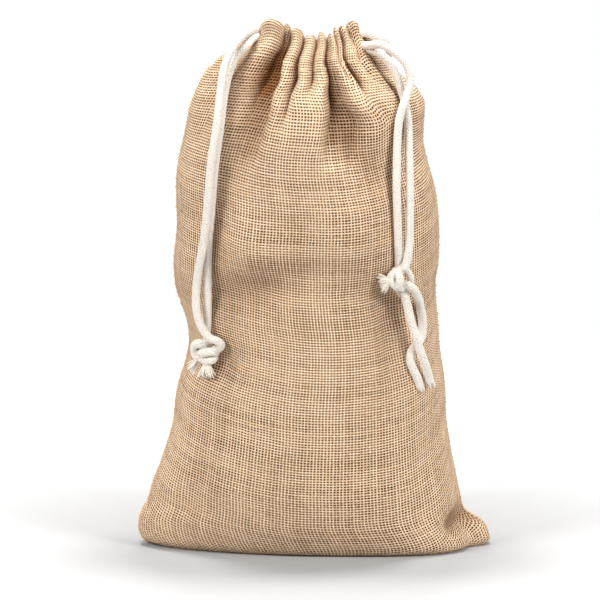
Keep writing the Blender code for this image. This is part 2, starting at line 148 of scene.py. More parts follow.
def useGroup(group, **values):
    return addNode(treeOf(values.values()), "ShaderNodeGroup", values, node_tree=group).outputs


def tubeAlong(curve, radius, sides, scale=1.0):
    ring = addNode(curve.id_data, "GeometryNodeCurvePrimitiveCircle", {"Resolution": sides, "Radius": radius})
    return addNode(curve.id_data, "GeometryNodeCurveToMesh", {
        "Curve": curve, "Profile Curve": ring.outputs[0], "Scale": scale, "Fill Caps": True}).outputs[0]


def spun(rotation, angle):
    # a rotation, turned further about its own z axis
    turn = addNode(rotation.id_data, "FunctionNodeAxisAngleToRotation", {"Axis": (0.0, 0.0, 1.0), "Angle": angle})
    return addNode(rotation.id_data, "FunctionNodeRotateRotation", {
        "Rotation": rotation, "Rotate By": turn.outputs[0]}, rotation_space="LOCAL").outputs[0]


def scatter(points, item, rotation, size):
    return addNode(points.id_data, "GeometryNodeInstanceOnPoints", {
        "Points": points, "Instance": item, "Rotation": rotation, "Scale": joinVector(size, size, size)}).outputs[0]


def finishTree(geometry, given, out):
    tree = geometry.id_data
    real = addNode(tree, "GeometryNodeRealizeInstances", {0: geometry}).outputs[0]
    paint = addNode(tree, "GeometryNodeSetMaterial", {"Geometry": real, "Material": given["Material"]})
    putIn(out, {"Geometry": paint.outputs[0]})
    return tree


def newMaterial(name):
    material = bpy.data.materials.new(name)
    material.use_nodes = True
    return material, material.node_tree, material.node_tree.nodes["Principled BSDF"]


def finishMaterial(shader, colour, height, finish):
    bump = addNode(shader.id_data, "ShaderNodeBump", {
        "Height": height, "Strength": finish["bump"], "Distance": finish["depth"]})
    putIn(shader, {"Base Color": colour, "Roughness": finish["roughness"], "Sheen Weight": finish["sheen"],
                   "Specular IOR Level": finish["specular"], "Normal": bump.outputs["Normal"]})


# helpers for objects and meshes


def linkObject(name, data):
    thing = bpy.data.objects.new(name, data)
    bpy.context.scene.collection.objects.link(thing)
    return thing


def bmeshToPiece(name, bm, material=None):
    mesh = bpy.data.meshes.new(name)
    bm.to_mesh(mesh)
    bm.free()
    mesh.shade_smooth()
    if material:
        mesh.materials.append(material)
    return linkObject(name, mesh)


def grow(name, base, tree, values):
    # the tree's result on the base mesh, as a plain mesh
    piece = linkObject(name, base)
    modifier = piece.modifiers.new("grow", "NODES")
    modifier.node_group = tree
    for item in tree.interface.items_tree:
        if item.in_out == "INPUT" and item.name in values:
            modifier[item.identifier] = values[item.name]
    depsgraph = bpy.context.evaluated_depsgraph_get()
    mesh = bpy.data.meshes.new_from_object(piece.evaluated_get(depsgraph))
    piece.modifiers.remove(modifier)
    piece.data = mesh
    mesh.name = name
    bm = bmesh.new()
    bm.from_mesh(mesh)
    bmesh.ops.recalc_face_normals(bm, faces=bm.faces[:])
    bm.to_mesh(mesh)
    bm.free()
    mesh.shade_smooth()
    print(name, len(mesh.polygons), "faces")
    return piece


def claim(piece, node=None):
    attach(piece, "root")
    if node:
        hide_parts(node)
    return piece


def flow(at, places, values):
    # smooth curve through a table's values that doesn't overshoot them
    places = np.asarray(places, float)
    values = np.asarray(values, float)
    steps = np.diff(places)
    rises = np.diff(values) / steps
    slopes = np.zeros(len(places))
    slopes[0] = rises[0]
    slopes[-1] = rises[-1]
    for i in range(1, len(places) - 1):
        if rises[i - 1] * rises[i] > 0.0:
            slopes[i] = 2.0 * rises[i - 1] * rises[i] / (rises[i - 1] + rises[i])
    at = np.clip(at, places[0], places[-1])
    i = np.clip(np.searchsorted(places, at, side="right") - 1, 0, len(steps) - 1)
    t = (at - places[i]) / steps[i]
    return between(t, values[i], values[i + 1], steps[i] * slopes[i], steps[i] * slopes[i + 1])


def between(t, start, end, startSlope, endSlope):
    # a smooth way from start to end, with the slopes that it has there
    ends = (1 + 2 * t) * (1 - t) ** 2 * start + t * t * (3 - 2 * t) * end
    return ends + t * (1 - t) ** 2 * startSlope - t * t * (1 - t) * endSlope


def along(points):
    return np.concatenate([[0.0], np.cumsum(np.linalg.norm(np.diff(points, axis=0), axis=1))])


def smoothRoute(points, step):
    points = np.array(points, float)
    length = along(points)
    ways = np.gradient(points, length, axis=0)
    out = []
    for at in np.linspace(0.0, length[-1], max(4, round(length[-1] / step)) + 1):
        i = min(len(length) - 2, int(np.searchsorted(length, at, side="right")) - 1)
        h = length[i + 1] - length[i]
        out.append(between((at - length[i]) / h, points[i], points[i + 1], h * ways[i], h * ways[i + 1]))
    return np.array(out)


# camera, floor and light

camera = {
    "distance": 4.5,
    "elevation": 11.0,          # degrees above level
    "lookAt": (-0.00715, 0.0, 0.1375),
    "frameWidth": 0.3315,       # metres seen across the picture at the sack
    "sensor": 36.0,
    "clipEnd": 50.0,
}

studio = {
    "floorRadius": 0.6,
    "floorTone": 0.40,          # seen by the camera close to the sack
    "floorFarTone": 0.60,
    "floorNear": 0.11,          # metres from the sack where the painted light starts to brighten the floor, and where it is brightest
    "floorFar": 0.32,
    "floorBounce": 0.48,        # what it throws back on the sack
    "floorRoughness": 0.9,
    "floorSpecular": 0.1,
    "skyTone": (1.0, 1.0, 1.0),
    "skySeen": 1.0,             # what the camera sees past the floor
    "skyStrength": 0.25,        # what lights the sack
    "lights": {                 # place, target's height, size and power
        "leftBox": ((-1.35, -1.05, 1.1), 0.12, 0.7, 29.6),
        "rightBox": ((1.35, -1.05, 1.1), 0.12, 0.7, 29.6),
        "topLeft": ((-0.32, 0.25, 1.8), 0.1, 0.4, 20.6),
        "topRight": ((0.32, 0.25, 1.8), 0.1, 0.4, 20.6),
        "backBox": ((0.0, 1.6, 0.9), 0.12, 0.7, 12.0),
    },
}


def aim(thing, target):
    thing.rotation_euler = (Vector(target) - thing.location).to_track_quat("-Z", "Y").to_euler()


def softLight(name, place, targetHeight, size, power):
    data = bpy.data.lights.new(name, "AREA")
    data.shape = "DISK"
    data.size = size
    data.energy = power
    light = linkObject(name, data)
    light.location = place
    aim(light, (0.0, 0.0, targetHeight))


def cameraSees(tree, seen, others):
    # one value for what the camera sees itself, another for the light that the thing gives
    ray = addNode(tree, "ShaderNodeLightPath").outputs["Is Camera Ray"]
    return stretch(ray, 0.0, 1.0, others, seen)


def buildStudio():
    scene = bpy.context.scene
    data = bpy.data.cameras.new("photoCamera")
    data.sensor_width = camera["sensor"]
    data.lens = camera["sensor"] * camera["distance"] / camera["frameWidth"]
    data.clip_end = camera["clipEnd"]
    viewer = linkObject("photoCamera", data)
    tilt = math.radians(camera["elevation"])
    target = Vector(camera["lookAt"])
    viewer.location = target + camera["distance"] * Vector((0.0, -math.cos(tilt), math.sin(tilt)))
    aim(viewer, target)
    scene.camera = viewer

    scene.world = bpy.data.worlds.new("paleStudio")
    scene.world.use_nodes = True
    tree = scene.world.node_tree
    putIn(tree.nodes["Background"], {"Color": (*studio["skyTone"], 1.0),
                                     "Strength": cameraSees(tree, studio["skySeen"], studio["skyStrength"])})
    scene.view_settings.view_transform = "Standard"
    scene.view_settings.look = "None"

    paint, tree, shader = newMaterial("paleFloor")
    place = addNode(tree, "ShaderNodeTexCoord").outputs["Object"]
    away = addNode(tree, "ShaderNodeVectorMath", {0: place}, operation="LENGTH").outputs["Value"]
    # painted light: the floor's seen tone rises away from the sack, standing in for light that falls off there, and
    # leaves it darker close to the sack
    paintedFloorLight = stretch(away, studio["floorNear"], studio["floorFar"], studio["floorTone"], studio["floorFarTone"])
    putIn(shader, {"Base Color": cameraSees(tree, paintedFloorLight, studio["floorBounce"]),
                   "Roughness": studio["floorRoughness"], "Specular IOR Level": studio["floorSpecular"]})
    bm = bmesh.new()
    bmesh.ops.create_circle(bm, cap_ends=True, segments=96, radius=studio["floorRadius"])
    bmeshToPiece("floor", bm, paint)
    for name, facts in studio["lights"].items():
        softLight(name, *facts)


buildStudio()
print("studio ready")

# fibre streaks, used by both the burlap and the cotton


def buildFibres():
    # fine streaks that run along a yarn; both places are in yarn widths
    tree, given, out = newTree("fibreStreaks", {"Across": 0.0, "Along": 0.0, "Fineness": 4.0, "Stretch": 0.25},
                               ["Streak"])
    fine = joinVector(times(given["Across"], given["Fineness"]), times(given["Along"], given["Stretch"]))
    putIn(out, {"Streak": softNoise(fine, roughness=0.6)})
    return tree


fibreStreaks = buildFibres()

# burlap: an open plain weave of uneven yarns

weave = {
    "yarnsAcross": 228.0,       # warp yarns round the whole sack
    "yarnsUp": 220.0,           # weft yarns from the foot's fold to the rim
    "warpHalf": 0.215,          # half width of a yarn, as a share of its spacing
    "weftHalf": 0.27,
    "unevenHalf": 0.08,         # how far that differs from yarn to yarn
    "slubHalf": 0.10,           # how far it differs along one yarn
    "denseHalf": 0.04,          # extra width where the yarns crowd together
    "denseScale": 0.13,
    "denseRange": (0.5, 0.75),
    "drift": 0.2,               # how far the rows wander, in yarns
    "driftScales": (0.09, 0.11),
    "wander": 0.11,             # how far one yarn wanders in its row
    "edgeSoft": 0.03,
    "sideShadeRange": (0.38, 0.95),  # from a yarn's middle to its edge, where the painted shade on its side comes in
    "shineHeight": (0.45, 0.9),
    "shineStreak": (0.48, 0.68),
    "goldRange": (0.46, 0.62),
    "seeds": (11.0, 47.0),
    "fineStep": 7.31,           # place of a yarn's own noise, a step for each yarn and a stretch along it
    "fineStretch": 0.45,
    "slubStep": 3.77,
    "slubStretch": 0.07,
    "waveShare": 0.38,          # how much of a yarn's height comes from passing over and under
    "restShare": 0.62,
    "weftRelief": 0.45,         # the weft lies flatter, or the light from above would leave every row half dark
    "weftBase": 0.3,
    "fineness": 5.0,            # fibres across a yarn
    "fibreStretch": 0.6,
    "tone": 0.60,               # a yarn's tone from dark to light, and how far each cause moves it
    "yarnTone": 0.20,
    "slubTone": 0.4,
    "fibreTone": 1.3,
    # painted light on the yarns' crowns and painted shade where they dip under
    "paintedCrownLight": 0.3,
    "light": (0.93, 0.735, 0.535),
    "dark": (0.46, 0.23, 0.085),
    "tints": {                  # on the crowded yarns, painted shade on their sides, a painted highlight on their lit fibres and painted shade in the gaps, with the amount
        "Gold": ((0.62, 0.33, 0.11), 0.4),
        # painted shade where a yarn's side turns away into the gaps
        "Side": ((0.27, 0.095, 0.014), 0.95),
        # painted highlight on the crowns of the yarns, where their fibres catch the light
        "Shine": ((1.0, 0.93, 0.84), 0.5),
        # painted shade: the gaps are painted near black for the dark inside seen through them
        "HoleShade": ((0.012, 0.0035, 0.0006), 1.0),
    },
    "patchScale": 38.0,
    "patchAmount": 0.15,
    "paintedCreaseShade": (0.26, 0.155, 0.085),   # painted shade: what the colour keeps in the deepest creases
    "finish": {"roughness": 0.92, "specular": 0.04, "sheen": 0.0, "bump": 0.75, "depth": 0.00055},
}


def buildWeave():
    w = weave
    tree, given, out = newTree("plainWeave", {"Across": 0.0, "Up": 0.0},
                               ["HoleShade", "Height", "Tone", "Side", "Shine", "Gold"])
    across, up = given["Across"], given["Up"]
    place = joinVector(across, up)
    dense = times(stretch(softNoise(place, w["denseScale"]), *w["denseRange"]), w["denseHalf"])
    crossPlace = joinVector(up, across, 7.3)
    across = around(softNoise(place, w["driftScales"][0]), w["drift"], across)
    up = around(softNoise(crossPlace, w["driftScales"][1]), w["drift"], up)

    def yarn(own, other, width, seed):
        # own counts the yarns of this direction, other runs along them
        number = calc("FLOOR", own)
        fine = softNoise(joinVector(times(number, w["fineStep"]), times(other, w["fineStretch"]), seed), detail=1.0)
        slub = softNoise(joinVector(times(number, w["slubStep"]), times(other, w["slubStretch"]), seed + 5.0))
        odds = perYarn(number, seed)
        half = around(odds, w["unevenHalf"], calc("ADD", dense, width))
        half = around(slub, 2.0 * w["slubHalf"], half)
        half = around(fine, w["slubHalf"], half)
        middle = around(fine, 2.0 * w["wander"], 0.5)
        off = calc("ABSOLUTE", calc("SUBTRACT", calc("FRACT", own), middle))
        cover = stretch(calc("SUBTRACT", half, off), -w["edgeSoft"], w["edgeSoft"], soft=True)
        ratio = calc("DIVIDE", off, calc("ADD", half, 2.0 * w["edgeSoft"]), clamp=True)
        crown = calc("SQRT", calc("SUBTRACT", 1.0, times(ratio, ratio), clamp=True))
        return odds, slub, cover, crown, stretch(ratio, *w["sideShadeRange"], soft=True)

    warpOdds, warpSlub, warpCover, warpCrown, warpSideShade = yarn(across, up, w["warpHalf"], w["seeds"][0])
    weftOdds, weftSlub, weftCover, weftCrown, weftSideShade = yarn(up, across, w["weftHalf"], w["seeds"][1])
    over = times(calc("SINE", times(across, math.pi)), calc("SINE", times(up, math.pi)))
    warpRise = calc("MULTIPLY_ADD", over, w["waveShare"], w["restShare"])
    weftRise = calc("MULTIPLY_ADD", over, -w["waveShare"], w["restShare"])
    warpHeight = times(times(warpCrown, warpRise), warpCover)
    weftHeight = times(times(weftCrown, weftRise), weftCover)
    height = calc("MAXIMUM", warpHeight, weftHeight)
    warpOnTop = calc("GREATER_THAN", warpHeight, weftHeight)

    def choose(warp, weft):
        return calc("MULTIPLY_ADD", calc("SUBTRACT", warp, weft), warpOnTop, weft)

    hair = {"Fineness": w["fineness"], "Stretch": w["fibreStretch"]}
    streak = choose(useGroup(fibreStreaks, Across=across, Along=up, **hair)["Streak"],
                    useGroup(fibreStreaks, Across=up, Along=across, **hair)["Streak"])
    odds = choose(warpOdds, weftOdds)
    slub = choose(warpSlub, weftSlub)
    tone = around(slub, w["slubTone"], around(odds, w["yarnTone"], w["tone"]))
    # painted light on the yarns' crowns, painted shade where they dip
    tone = around(height, w["paintedCrownLight"], around(streak, w["fibreTone"], tone), middle=0.6, clamp=True)
    flatWeft = calc("MULTIPLY_ADD", weftHeight, w["weftRelief"], times(weftCover, w["weftBase"]))
    putIn(out, {
        "HoleShade": times(calc("SUBTRACT", 1.0, warpCover), calc("SUBTRACT", 1.0, weftCover)),
        "Height": choose(warpHeight, flatWeft),
        "Tone": tone,
        "Side": choose(warpSideShade, weftSideShade),
        "Shine": times(stretch(height, *w["shineHeight"], soft=True), stretch(streak, *w["shineStreak"], soft=True)),
        "Gold": stretch(times(odds, slub), *w["goldRange"], soft=True),
    })
    return tree


plainWeave = buildWeave()


def weavePlace(tree):
    return splitVector(addNode(tree, "ShaderNodeUVMap", uv_map="weave").outputs["UV"])


def burlapMaterial():
    material, tree, shader = newMaterial("naturalBurlap")
    place = weavePlace(tree)
    cloth = useGroup(plainWeave, Across=times(place["X"], weave["yarnsAcross"]), Up=times(place["Y"], weave["yarnsUp"]))
    onSack = addNode(tree, "ShaderNodeTexCoord").outputs["Object"]
    patch = softNoise(onSack, weave["patchScale"], detail=3.0, roughness=0.55)
    tone = around(patch, weave["patchAmount"], cloth["Tone"], clamp=True)
    colour = blendColour(tone, (*weave["dark"], 1.0), (*weave["light"], 1.0))
    for part, (tint, amount) in weave["tints"].items():
        colour = blendColour(times(cloth[part], amount), colour, (*tint, 1.0))
    # painted shade: the cloth is darkened in its gathers' creases and in the dents, by the attribute worked out for the
    # cloth
    paintedShade = addNode(tree, "ShaderNodeAttribute", attribute_type="GEOMETRY", attribute_name="paintedShade").outputs["Fac"]
    crease = blendColour(1.0, colour, (*weave["paintedCreaseShade"], 1.0), "MULTIPLY")
    finishMaterial(shader, blendColour(paintedShade, colour, crease), cloth["Height"], weave["finish"])
    return material


burlap = burlapMaterial()

# cotton: a soft round braid

braid = {
    "strands": 7.0,             # strands seen going each way round the cord
    "stirScale": 0.7,           # how the strands wander
    "stir": 0.5,
    "fineness": 3.0,
    "fibreStretch": 0.8,
    "fibreTone": 0.9,
    # painted shade in the grooves between the strands, painted light on their crowns
    "heightTone": 0.5,
    "tone": 0.45,
    "fleckScale": 1.3,
    "fleckSink": 0.12,          # flecks lie rather in the hollows between the strands
    "fleckRange": (0.52, 0.66),
    "fleckAmount": 0.6,
    "light": (0.85, 0.80, 0.735),
    "shade": (0.62, 0.53, 0.43),
    "fleck": (0.44, 0.31, 0.20),
    "finish": {"roughness": 0.85, "specular": 0.25, "sheen": 0.3, "bump": 0.8, "depth": 0.0004},
}


def buildBraid():
    b = braid
    tree, given, out = newTree("cordBraid", {"Round": 0.0, "Along": 0.0, "Strands": 7.0}, ["Height", "Tone", "Fleck"])
    roundAt = times(given["Round"], given["Strands"])
    alongAt = times(given["Along"], given["Strands"])
    rightWay = calc("ADD", roundAt, alongAt)
    leftWay = calc("SUBTRACT", roundAt, alongAt)
    stir = softNoise(joinVector(roundAt, alongAt), b["stirScale"])

    def strand(way, amount):
        return calc("ABSOLUTE", calc("SINE", times(around(stir, amount, way), math.pi)))

    height = calc("POWER", times(strand(rightWay, b["stir"]), strand(leftWay, -b["stir"])), 0.5)
    streak = useGroup(fibreStreaks, Across=rightWay, Along=leftWay,
                      Fineness=b["fineness"], Stretch=b["fibreStretch"])["Streak"]
    dots = softNoise(joinVector(times(rightWay, b["fleckScale"]), times(leftWay, b["fleckScale"])), detail=1.0)
    putIn(out, {
        "Height": height,
        "Tone": around(streak, b["fibreTone"], calc("MULTIPLY_ADD", height, b["heightTone"], b["tone"]), clamp=True),
        "Fleck": stretch(calc("SUBTRACT", dots, times(height, b["fleckSink"])), *b["fleckRange"], soft=True),
    })
    return tree


cordBraid = buildBraid()


def cottonMaterial():
    material, tree, shader = newMaterial("braidedCotton")
    place = weavePlace(tree)
    rope = useGroup(cordBraid, Round=place["X"], Along=place["Y"], Strands=braid["strands"])
    colour = blendColour(rope["Tone"], (*braid["shade"], 1.0), (*braid["light"], 1.0))
    colour = blendColour(times(rope["Fleck"], braid["fleckAmount"]), colour, (*braid["fleck"], 1.0))
    finishMaterial(shader, colour, rope["Height"], braid["finish"])
    return material


# loose fibres and threads, streaked by their place on the sack
fibres = {
    "frayedCotton": {"light": (0.88, 0.83, 0.76), "dark": (0.64, 0.55, 0.44), "grain": 900.0,
                     "roughness": 0.85, "specular": 0.2, "sheen": 0.3, "bump": 0.4, "depth": 0.0002},
    "juteThread": {"light": (0.86, 0.63, 0.38), "dark": (0.50, 0.29, 0.13), "grain": 1400.0,
                   "roughness": 0.9, "specular": 0.2, "sheen": 0.15, "bump": 0.4, "depth": 0.0002},
}


def fibreMaterial(name):
    facts = fibres[name]
    material, tree, shader = newMaterial(name)
    place = splitVector(addNode(tree, "ShaderNodeTexCoord").outputs["Object"])
    streak = useGroup(fibreStreaks, Across=times(calc("ADD", place["X"], place["Y"]), facts["grain"]),
                      Along=times(place["Z"], facts["grain"]), Fineness=2.0, Stretch=0.7)["Streak"]
    colour = blendColour(stretch(streak, 0.3, 0.7), (*facts["dark"], 1.0), (*facts["light"], 1.0))
    finishMaterial(shader, colour, streak, facts)
    return material


cottonCord = cottonMaterial()
cottonFray = fibreMaterial("frayedCotton")
juteThread = fibreMaterial("juteThread")
print("materials ready")

# drawcords, knots and tails

cordShape = {
    "thickness": 4.5,
    "tailThickness": 4.8,       # below the right knot, where the braid has loosened
    "sides": 24,
    "step": 0.9,
    "lumps": 0.05,              # how uneven the cord's thickness is, and how quickly that changes round and along it
    "lumpRound": 0.9,
    "lumpAlong": 0.16,
    "seedStep": 3.1,
    "knotSides": 20,
    "knotStep": 0.8,
    "knotLumps": 0.08,
    "knotSeed": 9.0,
    "capRings": 3,
    "capStart": 0.35,
    "capBulge": 0.8,
}

cordRoutes = {
    "leftCordInner": [
        (-29, -0.5, 286), (-33.2, -7, 284.8), (-37, -15, 281.5), (-42, -18, 276.5), (-45.8, -22.5, 268.5),
        (-48.5, -28.5, 257), (-50.5, -34, 241.5), (-53.5, -37.6, 220), (-55.5, -38.4, 197.5), (-57.2, -36.5, 174.5),
        (-57.8, -34, 151.5), (-57.9, -32, 136), (-58.3, -29, 122)],
    "leftCordOuter": [
        (-28, 0.5, 287.5), (-32, -3, 289.2), (-36, -9.5, 288.5), (-41, -18, 285.5), (-45.3, -24.5, 280),
        (-48.9, -29.5, 270.5), (-50.7, -34.5, 258), (-52.5, -39.6, 242.5), (-55.8, -43.2, 220.5),
        (-57.6, -43.8, 198.5), (-60.2, -41, 175.5), (-63.3, -37, 157.5), (-64.1, -36, 148.5), (-64, -36.6, 140.5),
        (-62.3, -37.2, 132.5), (-59.6, -37.6, 127), (-56, -37.8, 123.2), (-52.6, -37.9, 122), (-50.4, -37, 119.8),
        (-51.4, -35.6, 117.4), (-54.2, -34.6, 116.6)],
    "rightCordFront": [
        (25, -4.5, 280.5), (31, -13, 282), (38, -19.5, 283.2), (44, -22.5, 280.2), (49.4, -24.5, 275.4),
        (52.6, -25.5, 269.5), (52.8, -27.5, 262.4), (50.9, -30.9, 256.2), (48.6, -34.2, 250.6), (46.9, -36.4, 243.6),
        (46, -38.9, 233.5), (45.7, -42.3, 220), (45.6, -45, 206), (46.1, -46.2, 192), (46.5, -45.7, 178),
        (46.8, -43.6, 169), (46.8, -43, 164.6)],
    "rightCordBack": [
        (28, -8, 278.6), (33.5, -11.5, 278.5), (39, -15, 275.9), (43.3, -18.5, 270.5), (46.4, -21.5, 264.7),
        (48.4, -24.5, 258.6), (50.2, -27.6, 252.2), (51.6, -30.2, 245.9), (52.1, -32.6, 238.6), (52.4, -37.4, 225.5),
        (52.8, -41.6, 208.5), (52.9, -43.8, 192), (52.5, -44.4, 177), (51.7, -45.6, 170), (50, -46.6, 164)],
    "rightCordBight": [
        (23, -2, 285.6), (29.5, -5, 287.4), (35, -7.5, 286.2), (40, -6, 282.7), (42.2, -1.5, 277.6), (40, 4.2, 272.2),
        (35.2, 8.6, 266)],
    "rightTailRight": [
        (49.8, -44.6, 154.9), (52, -45.2, 154.4), (54.7, -43.5, 152.2), (56.8, -39.5, 148), (58.3, -35, 143.2),
        (59.1, -32.2, 138.1), (59.8, -30.7, 133.4), (60.1, -30.2, 128.2), (59.7, -31, 123.9), (58.1, -33, 120.8),
        (55.5, -35.6, 118.2), (53.8, -37.6, 115.4), (53.3, -38, 112.2), (54.2, -37.6, 108.2), (56, -36.8, 103.9),
        (57.7, -35.7, 99.6), (58.6, -34.9, 96.2)],
    "rightTailLeft": [
        (49.3, -42, 151.5), (50.2, -41.8, 147.6), (51.4, -41.4, 143.4), (52.8, -41, 137.7), (54.5, -41.2, 131.1),
        (56.6, -41.2, 124.5), (58.4, -40.3, 118), (60.3, -38.9, 112.4), (62, -36.9, 107.2), (63.3, -34.6, 102.6),
        (63.9, -33, 98.6)],
}


def sweep(bm, uvLayer, points, thick, sides, seed, lumps):
    # a closed round tube along the points, rounded at both ends, with UVs round and along it
    ways = np.gradient(points, axis=0)
    ways /= np.linalg.norm(ways, axis=1)[:, None]
    caps = [0.5 * math.pi * (k + cordShape["capStart"]) / cordShape["capRings"] for k in range(cordShape["capRings"])]
    bulge = [thick * math.cos(turn) * cordShape["capBulge"] for turn in caps]
    front = [points[0] - ways[0] * out for out in bulge]
    back = [points[-1] + ways[-1] * out for out in reversed(bulge)]
    capRadii = [thick * math.sin(turn) for turn in caps]
    ways = np.vstack([np.repeat(ways[:1], len(caps), 0), ways, np.repeat(ways[-1:], len(caps), 0)])
    radii = np.concatenate([capRadii, np.full(len(points), thick), capRadii[::-1]])
    points = np.vstack([front, points, back])
    length = along(points)
    girth = 2.0 * math.pi * float(np.median(radii))
    side = Vector((0.3, 0.2, 1.0)).cross(Vector(ways[0]))
    if side.length < 0.2:
        side = Vector((1.0, 0.0, 0.0)).cross(Vector(ways[0]))
    rings = []
    for point, way, radius, run in zip(points, ways, radii, length):
        way = Vector(way)
        side = (side - way * side.dot(way)).normalized()
        lift = way.cross(side)
        ring = []
        for k in range(sides):
            turn = 2.0 * math.pi * k / sides
            out = side * math.cos(turn) + lift * math.sin(turn)
            spot = Vector((math.cos(turn) * cordShape["lumpRound"] + seed, math.sin(turn) * cordShape["lumpRound"],
                           run * cordShape["lumpAlong"]))
            ring.append(bm.verts.new((Vector(point) + out * radius * (1.0 + lumps * noise.noise(spot))) * mm))
        rings.append(ring)
    for row in range(len(rings) - 1):
        for k in range(sides):
            n = (k + 1) % sides
            face = bm.faces.new((rings[row][k], rings[row][n], rings[row + 1][n], rings[row + 1][k]))
            for loop, (kk, rr) in zip(face.loops, ((k, row), (k + 1, row), (k + 1, row + 1), (k, row + 1))):
                loop[uvLayer].uv = (kk / sides, length[rr] / girth)
    for ring, run in ((rings[0][::-1], 0.0), (rings[-1], length[-1])):
        for loop in bm.faces.new(ring).loops:
            loop[uvLayer].uv = (0.5, run / girth)


def tubePiece(name, routes, radii, sides, seed, lumps):
    bm = bmesh.new()
    uvLayer = bm.loops.layers.uv.new("weave")
    for number, (route, radius) in enumerate(zip(routes, radii)):
        sweep(bm, uvLayer, route, radius, sides, seed + cordShape["seedStep"] * number, lumps)
    bmesh.ops.recalc_face_normals(bm, faces=bm.faces[:])
    return bmeshToPiece(name, bm, cottonCord)


# each knot's turns, with the cord's radius in each
knotTurns = {
    "leftKnot": [
        (2.6, [(-57.6, -30, 117.2), (-60.5, -32.3, 118.9), (-63, -30.9, 119), (-64.9, -28.6, 117.2),
               (-65, -27.4, 114.6), (-64.2, -27.7, 112), (-62.8, -28.6, 110.1)]),
        (2.5, [(-61.6, -28, 112.4), (-61.9, -31.8, 113.5), (-59.4, -34.4, 114.7), (-56.2, -35, 115.4),
               (-54, -33.3, 115), (-53.6, -30.8, 114)]),
        (2.4, [(-61.8, -28.5, 111.6), (-60.5, -31.6, 110.6), (-57.9, -33.2, 110), (-55.5, -33.6, 110.4),
               (-54.2, -31.8, 111.4)]),
    ],
    "rightKnot": [
        (2.4, [(50.1, -43.6, 165), (47.3, -46.3, 162.8), (44, -47.3, 161.4), (42.4, -47.8, 158.7),
               (43.6, -47.5, 155.9), (46.2, -46.5, 154.1), (48.4, -44.2, 153)]),
        (2.3, [(44.9, -45.6, 162.6), (46.6, -48.2, 161.2), (47.4, -49.2, 158), (46.8, -48.2, 155), (45.6, -46, 153.4)]),
        (1.9, [(50.7, -44, 163.4), (52.4, -43.6, 160.8), (53.4, -43, 157.9), (53.1, -42.2, 154.9),
               (51.7, -41.6, 153.6)]),
    ],
}


def tieKnot(name, node):
    routes = [smoothRoute(points, cordShape["knotStep"]) for radius, points in knotTurns[name]]
    radii = [radius for radius, points in knotTurns[name]]
    return claim(tubePiece(name, routes, radii, cordShape["knotSides"], cordShape["knotSeed"], cordShape["knotLumps"]),
                 node)


leftKnot = tieKnot("leftKnot", "left_knot")
rightKnot = tieKnot("rightKnot", "right_knot")

# frayed ends: the node they stand for, root and tip, how far the tips spread, the number of strands and their radius
fraySprays = {
    "leftSideFray": {"node": "left_knot_tuft_side", "root": (-63.4, -28.8, 109.8), "tip": (-68.3, -29.6, 104.6),
                     "spread": 2.3, "strands": 26, "radius": 0.62},
    "leftLowFray": {"node": "left_knot_tuft_low", "root": (-58.6, -31.3, 108.3), "tip": (-58.9, -33.0, 101.2),
                    "spread": 4.2, "strands": 64, "radius": 0.6},
    "rightFray": {"node": "right_knot_tuft", "root": (42.2, -46.9, 157.4), "tip": (36.6, -48.4, 155.6),
                  "spread": 4.4, "strands": 72, "radius": 0.6},
    "rightLowFray": {"node": None, "root": (46.9, -43.6, 151.9), "tip": (46.3, -43.4, 147.8),
                     "spread": 0.3, "strands": 9, "radius": 0.42},
    "rightTailFray": {"node": None, "root": (58.4, -35.1, 97.2), "tip": (59.2, -34.6, 93.2),
                      "spread": 0.7, "strands": 26, "radius": 0.55},
    "leftTailFray": {"node": None, "root": (63.8, -33.2, 99.6), "tip": (64.7, -32.4, 95.2),
                     "spread": 1.0, "strands": 26, "radius": 0.55},
}

spray = {
    "rootRadius": 1.8,
    "curl": 1.8,
    "pieces": 8,                # points along a strand
    "sides": 6,
    "opening": 1.3,             # how late a strand turns aside
    "flatness": 0.35,           # spread through the spray, as a share of the spread across it
    "reach": (0.75, 1.15),
    "thickness": (0.35, 1.25),
    "taper": 0.7,
    "taperPower": 3.0,
    "curlStep": 7.31,
    "curlStretch": 2.2,
}


